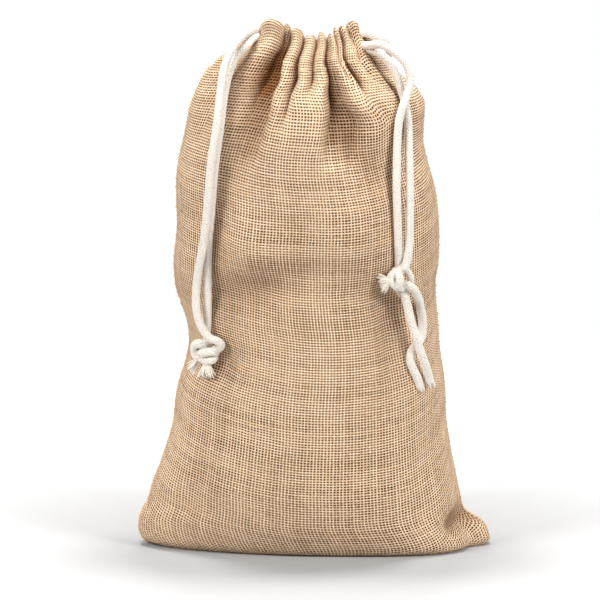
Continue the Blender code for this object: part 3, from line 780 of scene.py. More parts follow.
def buildSpray():
    # strands that leave each base point together and fan out towards their tips
    tree, given, out = newTree("fraySpray", {
        "Strands": 20, "Reach": (0.0, 0.0, -0.006), "Side": (1.0, 0.0, 0.0), "Lift": (0.0, 1.0, 0.0),
        "Root Radius": 0.0017, "Spread": 0.003, "Strand Radius": 0.0006, "Curl": 0.0015, "Seed": 1})
    seed = given["Seed"]
    copies = addNode(tree, "GeometryNodeDuplicateElements", {"Geometry": given["Geometry"], "Amount": given["Strands"]},
                     domain="POINT")
    line = addNode(tree, "GeometryNodeCurvePrimitiveLine")
    finer = addNode(tree, "GeometryNodeResampleCurve", {"Curve": line.outputs[0], "Count": spray["pieces"]})
    placed = addNode(tree, "GeometryNodeInstanceOnPoints", {"Points": copies.outputs[0], "Instance": finer.outputs[0]})
    real = addNode(tree, "GeometryNodeRealizeInstances", {0: placed.outputs[0]})

    index = addNode(tree, "GeometryNodeInputIndex").outputs[0]
    strand = addNode(tree, "GeometryNodeFieldOnDomain", {0: index}, data_type="INT", domain="CURVE").outputs[0]
    t = addNode(tree, "GeometryNodeSplineParameter").outputs["Factor"]
    angle = chance(0.0, 2.0 * math.pi, strand, seed, 1)
    far = calc("SQRT", chance(0.0, 1.0, strand, seed, 2))
    opened = calc("POWER", t, spray["opening"])
    width = calc("MULTIPLY_ADD", opened, given["Spread"], given["Root Radius"])
    depth = calc("MULTIPLY_ADD", opened, times(given["Spread"], spray["flatness"]), given["Root Radius"])
    stirPlace = joinVector(times(strand, spray["curlStep"]), times(t, spray["curlStretch"]), seed)
    stir = addNode(tree, "ShaderNodeTexNoise", {"Vector": stirPlace, "Scale": 1.0}).outputs["Color"]
    here = addNode(tree, "GeometryNodeInputPosition").outputs[0]
    place = vectorCalc("SUBTRACT", here, joinVector(0.0, 0.0, t))
    for way, amount in ((given["Reach"], times(t, chance(*spray["reach"], strand, seed, 3))),
                        (given["Side"], times(times(calc("COSINE", angle), far), width)),
                        (given["Lift"], times(times(calc("SINE", angle), far), depth)),
                        (vectorCalc("SUBTRACT", stir, (0.5, 0.5, 0.5)), times(t, given["Curl"]))):
        place = vectorCalc("ADD", place, scaled(way, amount))
    moved = addNode(tree, "GeometryNodeSetPosition", {"Geometry": real.outputs[0], "Position": place}).outputs[0]
    taper = calc("SUBTRACT", 1.0, times(calc("POWER", t, spray["taperPower"]), spray["taper"]))
    size = times(taper, chance(*spray["thickness"], strand, seed, 4))
    return finishTree(tubeAlong(moved, given["Strand Radius"], spray["sides"], size), given, out)


fraySpray = buildSpray()


def frayEnd(name, node, root, tip, spread, strands, radius):
    reach = Vector(tip) - Vector(root)
    side = reach.cross(Vector((0.0, 1.0, 0.0))).normalized()
    base = bpy.data.meshes.new(name)
    base.from_pydata([Vector(root) * mm], [], [])
    return claim(grow(name, base, fraySpray, {
        "Strands": strands, "Reach": reach * mm, "Side": side, "Lift": side.cross(reach).normalized(),
        "Root Radius": spray["rootRadius"] * mm, "Spread": spread * mm, "Strand Radius": radius * mm,
        "Curl": spray["curl"] * mm, "Seed": len(name), "Material": cottonFray}), node)


frays = {name: frayEnd(name, **facts) for name, facts in fraySprays.items()}


def drawCord(name, node, lumpSeed, thickness=cordShape["thickness"]):
    route = smoothRoute(cordRoutes[name], cordShape["step"])
    piece = tubePiece(name, [route], [0.5 * thickness], cordShape["sides"], lumpSeed, cordShape["lumps"])
    claim(piece, node)


loose = cordShape["tailThickness"]
drawCord("leftCordInner", "left_cord_inner", 1.0)
drawCord("leftCordOuter", "left_cord_outer", 2.0)
drawCord("rightCordFront", "right_cord_front", 3.0)
drawCord("rightCordBack", "right_cord_back", 4.0)
drawCord("rightCordBight", "right_cord_bight", 5.0)
drawCord("rightTailRight", "right_tail_right", 6.0, loose)
drawCord("rightTailLeft", "right_tail_left", 7.0, loose)
print("cords and knots ready")

# sack cloth

clothShape = {
    "wall": 1.6,
    "outlinePoints": 721,
    "hemWall": 3.2,
    "innerReach": 1.4,          # walls to both sides over which the inside stays clear of the outside's creases
    "hemDepth": 16.0,
    "turn": 0.04,               # how far front and back lean over to one side, for each mm across
    "freeHeight": 205.0,        # below here the columns lie evenly
    "rimRoll": 1.1,
    "frontSpacing": 1.0,
    "backSpacing": 1.6,
    "footLevels": [0.0, 0.6, 1.4, 2.6, 4.2, 6.0],
    "rowSpacing": 2.0,
    "innerFoot": [1.4, 4.0, 9.0, 15.0],
    "innerSpacing": 7.0,
    "innerNeckSpacing": 2.5,
    "topLevel": 298.0,
    "gatherFrom": 262.0,        # above here the rows follow the rim's own height
    "gatherRows": 16,
    "innerGatherRows": 6,
    "rimTurns": (45.0, 90.0, 135.0),
    "innerUp": 0.003,           # share of the flat height between the rows inside
    "insideShadeRows": 5,              # rows below the rim over which the painted shade inside grows to full
    "foldShares": (0.3, 0.6, 0.85, 0.985),
    "foldShrink": 0.01,
    "flatWidth": 205.0,
    "flatHeight": 350.0,
    "footSmile": 1.15,          # cloth under the foot for each mm from its edge to the fold
    "earReach": 10.5,
    "earWidth": 9.0,
    "earTop": 15.5,
    "earSoft": 1.6,
    "dentFade": 8.0,
    "backPleats": 12,
    "backPleatDepth": 5.0,
    "backPleatEnd": 232.0,
    "backRim": 286.1,
    "backRimSag": 5.0,
    "paintedShadeLevels": (236.0, 256.0, 286.0),
    "paintedShadeDepths": (16.0, 13.5, 8.5),  # gather depths that get the full painted shade there
    "paintedShadePower": 1.25,
    "paintedShadeRimFade": ((278.0, 290.0), (1.0, 0.35)),  # over these heights the painted shade lightens to this share
    "waver": 2.2,               # how far the gathers wander sideways near the rim
    "waverScale": (24.0, 0.10),     # changes over the flat width, and for each mm up
    "waverFrom": 252.0,
    "waverReach": 20.0,
    "crumple": 1.3,             # how uneven the gathered hem is
    "crumpleScale": (0.16, 0.13),   # changes for each mm across and up
    "crumpleFrom": 248.0,
    "crumpleReach": 30.0,
    "wrinkle": 0.7,
    "wrinkleScale": (0.028, 0.034),
    "fineWrinkle": 2.7,
    "sideFullness": 1.3,
    "fullnessTo": 278.0,
    "fullnessFade": 14.0,
    "sideReach": 20.0,
    "seamGroove": 0.7,
    "seamReach": 1.1,
    "seamStep": 1.15,
    "seamShort": 6,             # rows below the rim where the side seams' stitches end
    "evenPasses": 8,
    "weftPasses": 500,
    "leanShare": 0.4,           # how much of a column's sideways lean counts as height
    "smileRise": 0.8,           # shares of the height over which the weft's curve comes and goes
    "smileFall": 0.3,
    "weftSmile": 9.0,           # how much lower the weft yarns lie at the middle than at the sides
}

Section = namedtuple("Section", "height left right front back roundLeft roundRight")
sections = [Section(*row) for row in (
    (0, 86.5, 84, 33, 33, 1.75, 3.6),
    (3, 93.5, 87, 38, 37, 1.75, 3.4),
    (10.5, 96.3, 85, 42.5, 41.5, 1.75, 3),
    (16, 95.6, 83.2, 45, 44, 1.78, 2.7),
    (25, 91, 81.4, 48, 46.5, 1.82, 2.4),
    (36, 87.7, 79, 51, 49.2, 1.9, 2.3),
    (47, 83.4, 76.8, 53, 51, 1.95, 2.2),
    (59, 79.5, 74.8, 54.7, 52.5, 2, 2.15),
    (70, 76.8, 73.3, 55.4, 53.3, 2, 2.15),
    (82, 75.4, 72.8, 56, 54, 2, 2.1),
    (93, 73, 71.9, 55.8, 54, 2, 2.1),
    (104, 69.4, 70.2, 55.2, 53.8, 2, 2.1),
    (116, 67.5, 68.9, 54, 53.5, 2.05, 2.1),
    (126, 68.6, 68.3, 53, 53, 2.05, 2.1),
    (137, 72.5, 67.2, 51.8, 52.5, 2, 2.1),
    (148, 75.5, 66.8, 51.2, 52.5, 2, 2.1),
    (159, 76.1, 68.4, 52, 53, 2, 2.1),
    (171, 74.8, 68.8, 54, 54, 2, 2.1),
    (183, 74.1, 68.4, 55.4, 54.5, 2, 2.1),
    (194, 74.6, 67.5, 55.5, 54.2, 2, 2.1),
    (205, 74.5, 65.2, 54.8, 53.8, 2, 2.1),
    (216, 73.3, 62, 53.8, 52.8, 2, 2.05),
    (228, 70.7, 59.6, 51.8, 51, 2, 2.05),
    (239, 68.4, 60.2, 49, 48.5, 2, 2.15),
    (247, 66.6, 60.8, 46, 45.5, 2, 2.25),
    (256, 63.4, 56.8, 42, 41.5, 2, 2.3),
    (266, 58.5, 44.8, 35, 34.5, 2, 2.25),
    (275, 49.4, 38.6, 26, 21.5, 2, 2),
    (282, 41, 35, 16.8, 10, 2, 2),
    (288, 36.6, 31, 12, 5.5, 2, 2),
    (297, 36, 30, 10.5, 4.5, 2, 2))]

# Each gather's line: its place across at the rim and four heights below, its share of the flat width,
# the valley's depth at rim, neck, shoulder and chest, where it ends, and the rim's height over it.
gatherHeights = (288.0, 276.0, 266.0, 256.0, 241.0)
depthHeights = (241.0, 256.0, 266.0, 288.0)
Gather = namedtuple("Gather", "atRim at276 at266 at256 at241 share deepRim deep266 deep256 deep241 end rim")
frontGathers = [Gather(*row) for row in (
    (-36.6, -49, -58.5, -63.4, -68, 0, 0, 0, 0, 0, 250, 287.6),
    (-31.4, -42, -52, -56, -60, 0.11, 2.5, 5.5, 4, 3, 222, 290.2),
    (-24, -33, -40.5, -44.5, -49, 0.195, 0, 7, 6, 4.5, 204, 295.4),
    (-17.4, -22.5, -29, -34, -39, 0.255, 6, 14, 9, 5.5, 206, 289.5),
    (-16.6, -20.2, -24, -28.8, -33, 0.295, 6, 15, 10, 6, 208, 292.2),
    (-13.6, -18, -21.8, -25.3, -28.5, 0.32, 8, 16, 10, 6.5, 210, 287.5),
    (-10.2, -13, -17.4, -20.6, -23.5, 0.372, 0, 0, 0, 0, 250, 290.6),
    (-6.2, -8.2, -10.8, -14, -18, 0.42, 7, 11.5, 7, 2, 236, 284.6),
    (-2.2, -4.6, -6.8, -9.2, -12.5, 0.46, 0, 0, 0, 0, 250, 287),
    (1, 0.6, -1.4, -2.8, -4.4, 0.493, 7.5, 9, 1, 0, 252, 283.2),
    (4, 4.6, 4.8, 4.2, 2.5, 0.522, 0, 0, 0, 0, 250, 288.4),
    (6.6, 7.8, 8.8, 9.2, 9, 0.563, 6, 11.5, 13.5, 10, 218, 284),
    (7.6, 10.4, 13, 17, 25, 0.605, 3, 6.5, 8.5, 8, 210, 285.5),
    (9.4, 13.2, 18, 25, 36, 0.655, 0, 0, 0, 0, 250, 287.6),
    (11.4, 15, 20, 26.8, 37.6, 0.67, 4.5, 1.5, 0, 0, 262, 284.5),
    (13.4, 16.6, 21.8, 28.4, 39, 0.685, 0, 0, 0, 0, 250, 290.8),
    (15.6, 18.6, 24.8, 31.2, 41.2, 0.737, 6, 12, 0.5, 0, 254, 287),
    (18, 23, 30, 35.6, 43.6, 0.79, 0, 0, 0, 0, 250, 291.4),
    (20.6, 27, 33.4, 39, 45.6, 0.815, 4, 1.5, 0, 0, 262, 289),
    (24.8, 30.5, 36.6, 42.6, 47.6, 0.85, 0, 0, 0, 0, 250, 294.4),
    (28.8, 34.8, 40.6, 48, 52, 0.9, 5, 4, 3, 1.5, 222, 288.2),
    (32, 38, 44.8, 56.8, 60.4, 1, 0, 0, 0, 0, 250, 285.6))]

# soft hollows, and swells where the depth is negative: place, lean of the long way in degrees, reach both ways, depth,
# and the shade painted in each
Dent = namedtuple("Dent", "across up lean long wide depth shade")
dents = [Dent(*row) for row in (
    (-44, 149, 12, 25, 12, 5, 0.3),
    (-16, 157, 27, 22, 9, 3, 0.14),
    (-34, 176, 8, 14, 16, -7.6, 0),
    (20, 178, 14, 18, 22, -6.4, 0),
    (-8, 186, 72, 20, 8, 1.4, 0.05),
    (-52, 184, 84, 34, 6, 2.2, 0.1),
    (-49, 110, 80, 14, 8, 5, 0.3),
    (-20, 134, 18, 30, 8, -1.8, 0),
    (43, 130, 96, 28, 8, 5.6, 0.26),
    (50, 190, 90, 34, 6, 2.4, 0),
    (34, 150, 150, 20, 9, 1.6, 0.1),
    (-68, 34, 66, 24, 6, 2.4, 0),
    (80, 17, 50, 7, 5.5, 5.5, 0.7),
    (64, 56, 84, 34, 7, 1.2, 0),
    (-38, 266, 58, 16, 11, 2, 0.44),
    (-36, 233, 68, 25, 8, 1.8, 0.36),
    (27, 226, 127, 24, 10, 2.6, 0.34),
    (36, 258, 120, 20, 9, 0.6, 0.14))]


def sectionAt(height):
    table = np.array(sections, float)
    return Section(*[float(flow(height, table[:, 0], column)) for column in table.T])


def halfOutline(height, side):
    s = sectionAt(height)
    turn = np.linspace(0.0, math.pi, clothShape["outlinePoints"])
    left = turn < math.pi / 2
    power = 2.0 / np.where(left, s.roundLeft, s.roundRight)
    depth = s.front if side < 0 else s.back
    x = np.where(left, -s.left, s.right) * np.abs(np.cos(turn)) ** power
    y = side * depth * np.abs(np.sin(turn)) ** power
    return np.column_stack([x, y - clothShape["turn"] * x * np.sin(turn) ** 2])


def backGathers():
    c = clothShape
    found = []
    count = 2 * c["backPleats"]
    for k in range(count + 1):
        share = k / count
        depth = c["backPleatDepth"] * (1.0 + 0.25 * math.sin(2.4 * k)) * (k % 2)
        end = c["backPleatEnd"] - 14.0 * math.sin(1.9 * k)
        rim = c["backRim"] - c["backRimSag"] * math.sin(math.pi * share) + 1.2 * math.cos(3.1 * k)
        found.append(Gather(*[None] * 5, share, 0.55 * depth, depth, 0.75 * depth, 0.4 * depth, end, rim))
    return found


def sharesOf(gathers):
    # each gather's share of the outline at the tracked heights, worked out once
    outlines = [halfOutline(level, -1) for level in gatherHeights]
    lengths = [along(points) for points in outlines]
    table = []
    for g in gathers:
        if g.atRim is None or g.share in (0.0, 1.0):
            table.append(None)
        else:
            row = [np.interp(x, points[:, 0], run / run[-1]) for x, points, run in zip(g[:5], outlines, lengths)]
            table.append([g.share] + row[::-1])
    return table


def gatherShare(g, tracked, height):
    if tracked is None:
        return g.share
    return float(flow(height, (clothShape["freeHeight"], *gatherHeights[::-1]), tracked))


def gatherDepth(g, height):
    if g.deepRim == 0.0 or height <= g.end:
        return 0.0
    deep = (g.deep241, g.deep256, g.deep266, g.deepRim)
    table = [(level, depth) for level, depth in zip(depthHeights, deep) if level > g.end + 1.0]
    return float(flow(height, *zip((g.end, 0.0), *table)))


def columnPlan(gathers, spacing):
    plan = []
    for i in range(len(gathers) - 1):
        width = (gathers[i + 1].share - gathers[i].share) * clothShape["flatWidth"]
        count = max(3, round(width / spacing))
        plan += [(i, j / count) for j in range(count)]
    return plan


def foldProfile(place, start, end):
    rise = np.where(start > end, np.sin(0.5 * math.pi * place ** 0.8),
                    1.0 - np.sin(0.5 * math.pi * (1.0 - place) ** 0.8))
    return start + (end - start) * rise


def dentSum(x, height, amount="depth"):
    total = np.zeros_like(x)
    for d in dents:
        lean = math.radians(d.lean)
        run = (x - d.across) * math.cos(lean) + (height - d.up) * math.sin(lean)
        off = (height - d.up) * math.cos(lean) - (x - d.across) * math.sin(lean)
        total += getattr(d, amount) * np.exp(-(run / d.long) ** 2 - (off / d.wide) ** 2)
    return total


def wallAt(height):
    c = clothShape
    rim = gatherHeights[0]
    return float(flow(height, [0.0, rim - c["hemDepth"], rim], [c["wall"], c["wall"], c["hemWall"]]))


def fade(height, start, reach):
    # 0 at the start, 1 once the height has gone the whole reach past it
    return float(np.clip((height - start) / reach, 0.0, 1.0))


def unevenness(x, y, height, ends):
    # shallow wrinkles inwards, the fullness of the sides outwards, and the groove of the side seam
    c = clothShape
    out = []
    full = c["sideFullness"] * (1.0 - fade(height, c["fullnessTo"] - c["fullnessFade"], c["fullnessFade"]))
    crumple = c["crumple"] * fade(height, c["crumpleFrom"], c["crumpleReach"])
    wide, tall = c["wrinkleScale"]
    wideCrumple, tallCrumple = c["crumpleScale"]
    for px, py, end in zip(x, y, ends):
        spot = Vector((px * wide, py * wide, height * tall))
        fine = noise.noise(spot * c["fineWrinkle"] + Vector((5.0, 1.0, 3.0)))
        deep = 0.5 + 0.5 * noise.noise(spot) + 0.25 * fine
        groove = math.exp(-(end / c["seamReach"]) ** 2) * (0.6 + 0.4 * math.sin(height * c["seamStep"]))
        press = c["wrinkle"] * max(0.0, deep) + c["seamGroove"] * groove
        press += crumple * (0.5 + 0.5 * noise.noise((px * wideCrumple, py * wideCrumple, height * tallCrumple)))
        out.append(press - full * math.exp(-(end / c["sideReach"]) ** 2))
    return np.array(out)


class Half:
    # one half of the sack, front (-1) or back (1), with its columns worked out once
    def __init__(self, side, gathers, spacing):
        self.side = side
        self.gathers = gathers
        self.tracked = sharesOf(gathers)
        plan = columnPlan(gathers, spacing)
        if side > 0:
            plan.append((len(gathers) - 2, 1.0))
        self.index = np.array([i for i, place in plan])
        self.place = np.array([place for i, place in plan])
        self.flat = self.spread([g.share for g in gathers])
        self.rim = -self.fold([-g.rim for g in gathers])

    def spread(self, values):
        values = np.array(values)
        return values[self.index] + (values[self.index + 1] - values[self.index]) * self.place

    def fold(self, values):
        values = np.array(values)
        return foldProfile(self.place, values[self.index], values[self.index + 1])

    def layOut(self, height):
        # the outline there, its length so far, each column's place along it and how deep its gather is
        outline = halfOutline(height, self.side)
        length = along(outline)
        at = self.spread([gatherShare(g, t, height) for g, t in zip(self.gathers, self.tracked)]) * length[-1]
        return outline, length, at, self.fold([gatherDepth(g, height) for g in self.gathers])

    def row(self, height, inner=False):
        c = clothShape
        outline, length, at, press = self.layOut(height)
        waver = c["waver"] * fade(height, c["waverFrom"], c["waverReach"])
        if waver:
            across, up = c["waverScale"]
            spots = [(across * flat / c["flatWidth"], up * height, 4.0 * self.side) for flat in self.flat]
            shift = np.array([noise.noise(spot) for spot in spots])
            at = np.clip(at + waver * shift * np.sin(math.pi * at / length[-1]), 0.0, length[-1])

        def spotAt(run):
            return np.column_stack([np.interp(run, length, outline[:, k]) for k in (0, 1)])

        points = spotAt(at)
        x, y = points.T
        run = spotAt(at + 0.01 * length[-1]) - spotAt(at - 0.01 * length[-1])
        run /= np.linalg.norm(run, axis=1)[:, None]
        inward = np.column_stack([-run[:, 1], run[:, 0]]) * (-self.side)
        ends = np.minimum(at, length[-1] - at)
        if self.side < 0:
            press = press + np.clip(ends / c["dentFade"], 0.0, 1.0) * dentSum(x, height)
        press = press + unevenness(x, y, height, ends)
        if inner:
            near = np.abs(at[:, None] - at[None, :]) <= c["innerReach"] * c["wall"]
            press = np.max(np.where(near, press[None, :], -9.0), axis=1) + wallAt(height)
        points = points + inward * press[:, None]
        if not inner:
            ear = c["earReach"] / (1.0 + math.exp((height - c["earTop"]) / c["earSoft"]))
            points[:, 0] += ear * np.exp(-((length[-1] - at) / c["earWidth"]) ** 4)
        return points

    def paintedShade(self, height):
        # how much shade is painted on each column for lying back in its gather or a dent: 0 on the ridges, 1 in the
        # deepest creases
        c = clothShape
        outline, length, at, press = self.layOut(height)
        full = float(np.interp(height, c["paintedShadeLevels"], c["paintedShadeDepths"]))
        dark = np.clip(press / full, 0.0, 1.0) ** c["paintedShadePower"] * float(np.interp(height, *c["paintedShadeRimFade"]))
        if self.side < 0:
            dark = dark + dentSum(np.interp(at, length, outline[:, 0]), height, "shade")
        return np.clip(dark, 0.0, 1.0)


def climbOf(rows, flat, footRun):
    # how far up the flat cloth each point of the outside lies, as a share, with the weft's curve
    c = clothShape
    steps = np.diff(np.array(rows), axis=0) * (c["leanShare"], 1.0, 1.0)
    climbs = np.vstack([np.zeros(len(flat)), np.cumsum(np.linalg.norm(steps, axis=2), axis=0)])
    climbs /= climbs[-1]
    for _ in range(c["weftPasses"]):
        climbs = (np.roll(climbs, 1, axis=1) + climbs + np.roll(climbs, -1, axis=1)) / 3.0
    halfFlat = np.where(flat <= 0.5, 2.0 * flat, 2.0 * flat - 1.0)
    ease = np.clip(climbs / c["smileRise"], 0.0, 1.0) * np.clip((1.0 - climbs) / c["smileFall"], 0.0, 1.0)
    smile = c["weftSmile"] * 4.0 * halfFlat * (1.0 - halfFlat) * ease * ease * (3.0 - 2.0 * ease)
    return (footRun + (c["flatHeight"] - footRun) * climbs + smile) / c["flatHeight"]


def yarnPlaces(rows, split):
    # the yarns keep their spacing: their place across follows each row's own length, evened out over the rows nearby
    places = np.zeros((len(rows), len(rows[0])))
    for r, points in enumerate(rows):
        run = along(np.vstack([points, points[:1]])[:, :2])
        places[r, :split] = 0.5 * run[:split] / run[split]
        places[r, split:] = 0.5 + 0.5 * (run[split:-1] - run[split]) / (run[-1] - run[split])
    for _ in range(clothShape["evenPasses"]):
        places[1:-1] = (places[:-2] + places[1:-1] + places[2:]) / 3.0
    return places


def clothMesh(rows, across, up, shades):
    bm = bmesh.new()
    uvLayer = bm.loops.layers.uv.new("weave")
    paintedShadeLayer = bm.verts.layers.float.new("paintedShade")
    grid = [[bm.verts.new(Vector(p) * mm) for p in points] for points in rows]
    for r in range(len(rows) - 1):
        for k in range(len(rows[0])):
            n = (k + 1) % len(rows[0])
            face = bm.faces.new((grid[r][k], grid[r][n], grid[r + 1][n], grid[r + 1][k]))
            for loop, (row, column) in zip(face.loops, ((r, k), (r, n), (r + 1, n), (r + 1, k))):
                last = column == 0 and n == 0       # the last column's faces end where the cloth does, at 1
                loop[uvLayer].uv = (1.0 if last else across[row][column], up[row][column])
    for face in (bm.faces.new(grid[0][::-1]), bm.faces.new(grid[-1])):
        for loop in face.loops:
            place = loop.vert.co / mm
            loop[uvLayer].uv = (0.5 * place.x / clothShape["flatWidth"] + 0.25, place.y / clothShape["flatHeight"])
        bmesh.ops.triangulate(bm, faces=[face])
    for vertices, shade in zip(grid, shades):
        for vertex, value in zip(vertices, shade):
            vertex[paintedShadeLayer] = value
    bmesh.ops.recalc_face_normals(bm, faces=bm.faces[:])
    print("sack cloth:", len(rows[0]), "columns,", len(rows), "rows,", 2 * len(bm.faces), "triangles")
    return bm


def buildCloth():
    c = clothShape
    front = Half(-1, frontGathers, c["frontSpacing"])
    back = Half(1, backGathers(), c["backSpacing"])

    def allRound(ofFront, ofBack):
        return np.concatenate([ofFront, ofBack[:0:-1]])

    rim = allRound(front.rim, back.rim)
    flat = allRound(0.5 * front.flat, 1.0 - 0.5 * back.flat)
    split = len(front.flat)
    columns = len(rim)
    gatherFrom = c["gatherFrom"]
    foot, innerFoot = c["footLevels"], c["innerFoot"]
    levels = np.concatenate([foot, np.arange(foot[-1] + c["rowSpacing"], c["topLevel"], c["rowSpacing"])])
    innerLevels = np.concatenate([
        innerFoot, np.arange(innerFoot[-1] + c["innerSpacing"], gatherFrom, c["innerSpacing"]),
        np.arange(gatherFrom, c["topLevel"], c["innerNeckSpacing"])])
    outer = np.array([allRound(front.row(level), back.row(level)) for level in levels])
    inner = np.array([allRound(front.row(level, True), back.row(level, True)) for level in innerLevels])
    paintedShadeRows = np.array([allRound(front.paintedShade(level), back.paintedShade(level)) for level in levels])

    def pick(table, tableLevels, heights):
        i = np.clip(np.searchsorted(tableLevels, heights, side="right") - 1, 0, len(tableLevels) - 2)
        t = (heights - tableLevels[i]) / (tableLevels[i + 1] - tableLevels[i])
        k = np.arange(columns)
        xy = table[i, k] * (1 - t)[:, None] + table[i + 1, k] * t[:, None]
        return np.column_stack([xy, heights])

    def paintedShadeAt(heights):
        return paintedShadeRows[np.clip(np.searchsorted(levels, heights), 0, len(levels) - 1), np.arange(columns)]

    def levelRows(table, tableLevels):
        return [np.column_stack([points, np.full(columns, level)])
                for points, level in zip(table, tableLevels) if level <= gatherFrom]

    # the outside, up to the rim
    rows = levelRows(outer, levels)
    shades = list(paintedShadeRows[:len(rows)])
    top = rim - c["rimRoll"]
    for k in range(1, c["gatherRows"] + 1):
        heights = gatherFrom + (top - gatherFrom) * k / c["gatherRows"]
        rows.append(pick(outer, levels, heights))
        shades.append(paintedShadeAt(heights))
    outside = list(rows)

    # over the rim and down the inside
    innerRim = pick(inner, innerLevels, top)
    for turn in c["rimTurns"]:
        a = math.radians(turn)
        crown = outside[-1] * (0.5 + 0.5 * math.cos(a)) + innerRim * (0.5 - 0.5 * math.cos(a))
        crown[:, 2] = top + c["rimRoll"] * math.sin(a)
        rows.append(crown)
    rows.append(innerRim)
    for k in range(c["innerGatherRows"] - 1, 0, -1):
        rows.append(pick(inner, innerLevels, gatherFrom + (top - gatherFrom) * k / c["innerGatherRows"]))
    rows += levelRows(inner, innerLevels)[::-1]

    # the foot, in from the edge to the fold that runs corner to corner under the sack
    base = rows[0]
    foldY = -0.5 * c["turn"] * base[:, 0]
    footRun = c["footSmile"] * np.abs(base[:, 1] - foldY)
    up = list(climbOf(outside, flat, footRun))
    # painted shade: the inside of the sack is darkened from the rim down
    insideShade = np.linspace(shades[-1], 1.0, c["insideShadeRows"])
    for k in range(len(rows) - len(outside)):
        up.append(np.full(columns, 1.0 + c["innerUp"] * (k + 1)))
        shades.append(insideShade[min(k, c["insideShadeRows"] - 1)])
    for s in c["foldShares"]:
        points = base.copy()
        points[:, 0] *= 1.0 - c["foldShrink"] * s
        points[:, 1] += (foldY - base[:, 1]) * s
        rows.insert(0, points)
        up.insert(0, footRun * (1 - s) / c["flatHeight"])
        shades.insert(0, paintedShadeRows[0])

    piece = claim(bmeshToPiece("sackCloth", clothMesh(rows, yarnPlaces(rows, split), up, shades), burlap),
                  "sack_cloth")
    seams = [[points[k] for points in outside[:-c["seamShort"]]] for k in (0, split)]
    hemHeights = rim - c["hemDepth"]
    return piece, seams, pick(outer, levels, hemHeights), paintedShadeAt(hemHeights)


sackCloth, sideSeams, hemLine, hemPaintedShade = buildCloth()
print("cloth ready")

# sewing: stitches over both side seams, and a running stitch under the hem
sewing = {
    "seam": {"spacing": 2.3, "length": 3.0, "thickness": 0.9, "slant": 62.0, "lift": 0.55},
    "hem": {"spacing": 4.4, "length": 3.0, "thickness": 0.6, "slant": 0.0, "lift": 0.3},
    "hemReach": 0.3,            # no hem stitch shows where the painted shade is darker than this
    "swing": 0.14,              # how far a stitch may lean off its slant, in radians
    "uneven": (0.85, 1.15),
    "pieces": 5,
    "sides": 6,
}


def buildStitches():
    # one stitch at every step along a line that carries its outward direction
    tree, given, out = newTree("stitchRow", {
        "Spacing": 0.003, "Length": 0.003, "Thickness": 0.0009, "Slant": 0.0, "Lift": 0.0005, "Seed": 1})
    seed = given["Seed"]
    line = addNode(tree, "GeometryNodeMeshToCurve", {"Mesh": given["Geometry"]})
    steps = addNode(tree, "GeometryNodeResampleCurve", {"Curve": line.outputs[0], "Length": given["Spacing"]},
                    mode="LENGTH")
    outward = addNode(tree, "GeometryNodeInputNamedAttribute", {"Name": "outward"}, data_type="FLOAT_VECTOR")
    tangent = addNode(tree, "GeometryNodeInputTangent")
    facing = addNode(tree, "FunctionNodeAxesToRotation", {
        "Primary Axis": outward.outputs[0], "Secondary Axis": tangent.outputs[0]}, primary_axis="Z", secondary_axis="X")
    number = addNode(tree, "GeometryNodeInputIndex").outputs[0]
    slant = calc("ADD", given["Slant"], chance(-sewing["swing"], sewing["swing"], number, seed, 1))
    half = times(given["Length"], 0.5)
    low = times(given["Lift"], -1.0)
    arc = addNode(tree, "GeometryNodeCurveQuadraticBezier", {
        "Resolution": sewing["pieces"], "Start": joinVector(times(half, -1.0), 0.0, low),
        "Middle": joinVector(0.0, 0.0, times(given["Lift"], 2.0)), "End": joinVector(half, 0.0, low)})
    stitch = tubeAlong(arc.outputs[0], times(given["Thickness"], 0.5), sewing["sides"])
    size = chance(*sewing["uneven"], number, seed, 2)
    return finishTree(scatter(steps.outputs[0], stitch, spun(facing.outputs[0], slant), size), given, out)


stitchRow = buildStitches()


def linePath(name, lines, outwards):
    # the lines as mesh edges, each point with the direction that faces out of the cloth
    points, edges, ways = [], [], []
    for line, outs in zip(lines, outwards):
        first = len(points)
        points += [Vector(point) * mm for point in line]
        ways += [tuple(way) for way in outs]
        edges += [(k, k + 1) for k in range(first, len(points) - 1)]
    mesh = bpy.data.meshes.new(name)
    mesh.from_pydata(points, edges, [])
    outward = mesh.attributes.new("outward", "FLOAT_VECTOR", "POINT")
    for item, way in zip(outward.data, ways):
        item.vector = way
    return mesh


def stitchLine(name, path, kind, seed):
    facts = sewing[kind]
    return claim(grow(name, path, stitchRow, {
        "Spacing": facts["spacing"] * mm, "Length": facts["length"] * mm, "Thickness": facts["thickness"] * mm,
        "Slant": math.radians(facts["slant"]), "Lift": facts["lift"] * mm, "Seed": seed,
        "Material": juteThread}))


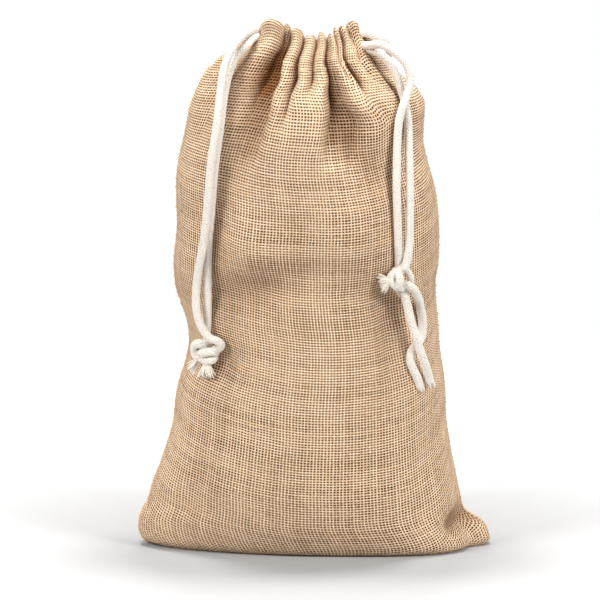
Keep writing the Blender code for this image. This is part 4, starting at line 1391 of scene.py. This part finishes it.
seamOuts = [[(way, 0.0, 0.0)] * len(seam) for way, seam in zip((-1.0, 1.0), sideSeams)]
seamStitches = stitchLine("sideSeamStitches", linePath("seamPath", sideSeams, seamOuts), "seam", 3)
hemRun = np.roll(hemLine, -1, axis=0) - np.roll(hemLine, 1, axis=0)
hemOut = np.column_stack([hemRun[:, 1], -hemRun[:, 0], np.zeros(len(hemRun))])
hemOut /= np.linalg.norm(hemOut, axis=1)[:, None]
ridge = hemPaintedShade < sewing["hemReach"]
parts = np.split(np.arange(len(hemLine)), np.flatnonzero(np.diff(ridge.astype(int))) + 1)
parts = [part for part in parts if len(part) > 3 and ridge[part[0]]]
hemPath = linePath("hemPath", [hemLine[part] for part in parts], [hemOut[part] for part in parts])
hemStitches = stitchLine("hemStitches", hemPath, "hem", 5)

# loose fibres that stand off the burlap
fuzz = {
    "perSquareMetre": 15000.0,
    "length": 1.9,
    "thickness": 0.13,
    "seed": 11,
    "paintedShadeReach": 0.9,         # none where the painted shade is darker than this, nor inside the sack
    "uneven": (0.4, 1.3),
    "pieces": 4,
    "sides": 3,
}


def buildFuzz():
    tree, given, out = newTree("looseFibres", {"Density": 10000.0, "Length": 0.002, "Thickness": 0.0001, "Seed": 1})
    seed = given["Seed"]
    shaded = addNode(tree, "GeometryNodeInputNamedAttribute", {"Name": "paintedShade"}, data_type="FLOAT")
    spots = addNode(tree, "GeometryNodeDistributePointsOnFaces", {
        "Mesh": given["Geometry"], "Selection": calc("LESS_THAN", shaded.outputs[0], fuzz["paintedShadeReach"]),
        "Density": given["Density"], "Seed": seed}).outputs
    number = addNode(tree, "GeometryNodeInputIndex").outputs[0]
    lean = chance(0.0, 2.0 * math.pi, number, seed, 1)
    length = given["Length"]
    hair = addNode(tree, "GeometryNodeCurveQuadraticBezier", {
        "Resolution": fuzz["pieces"], "Start": joinVector(0.0, 0.0, times(length, -0.1)),
        "Middle": joinVector(times(length, 0.2), 0.0, times(length, 0.45)),
        "End": joinVector(times(length, 0.9), times(length, 0.2), times(length, 0.35))})
    fibre = tubeAlong(hair.outputs[0], times(given["Thickness"], 0.5), fuzz["sides"])
    size = chance(*fuzz["uneven"], number, seed, 2)
    return finishTree(scatter(spots["Points"], fibre, spun(spots["Rotation"], lean), size), given, out)


clothFuzz = claim(grow("clothFuzz", sackCloth.data.copy(), buildFuzz(), {
    "Density": fuzz["perSquareMetre"], "Length": fuzz["length"] * mm, "Thickness": fuzz["thickness"] * mm,
    "Seed": fuzz["seed"], "Material": juteThread}))
print("sewing and loose fibres ready")
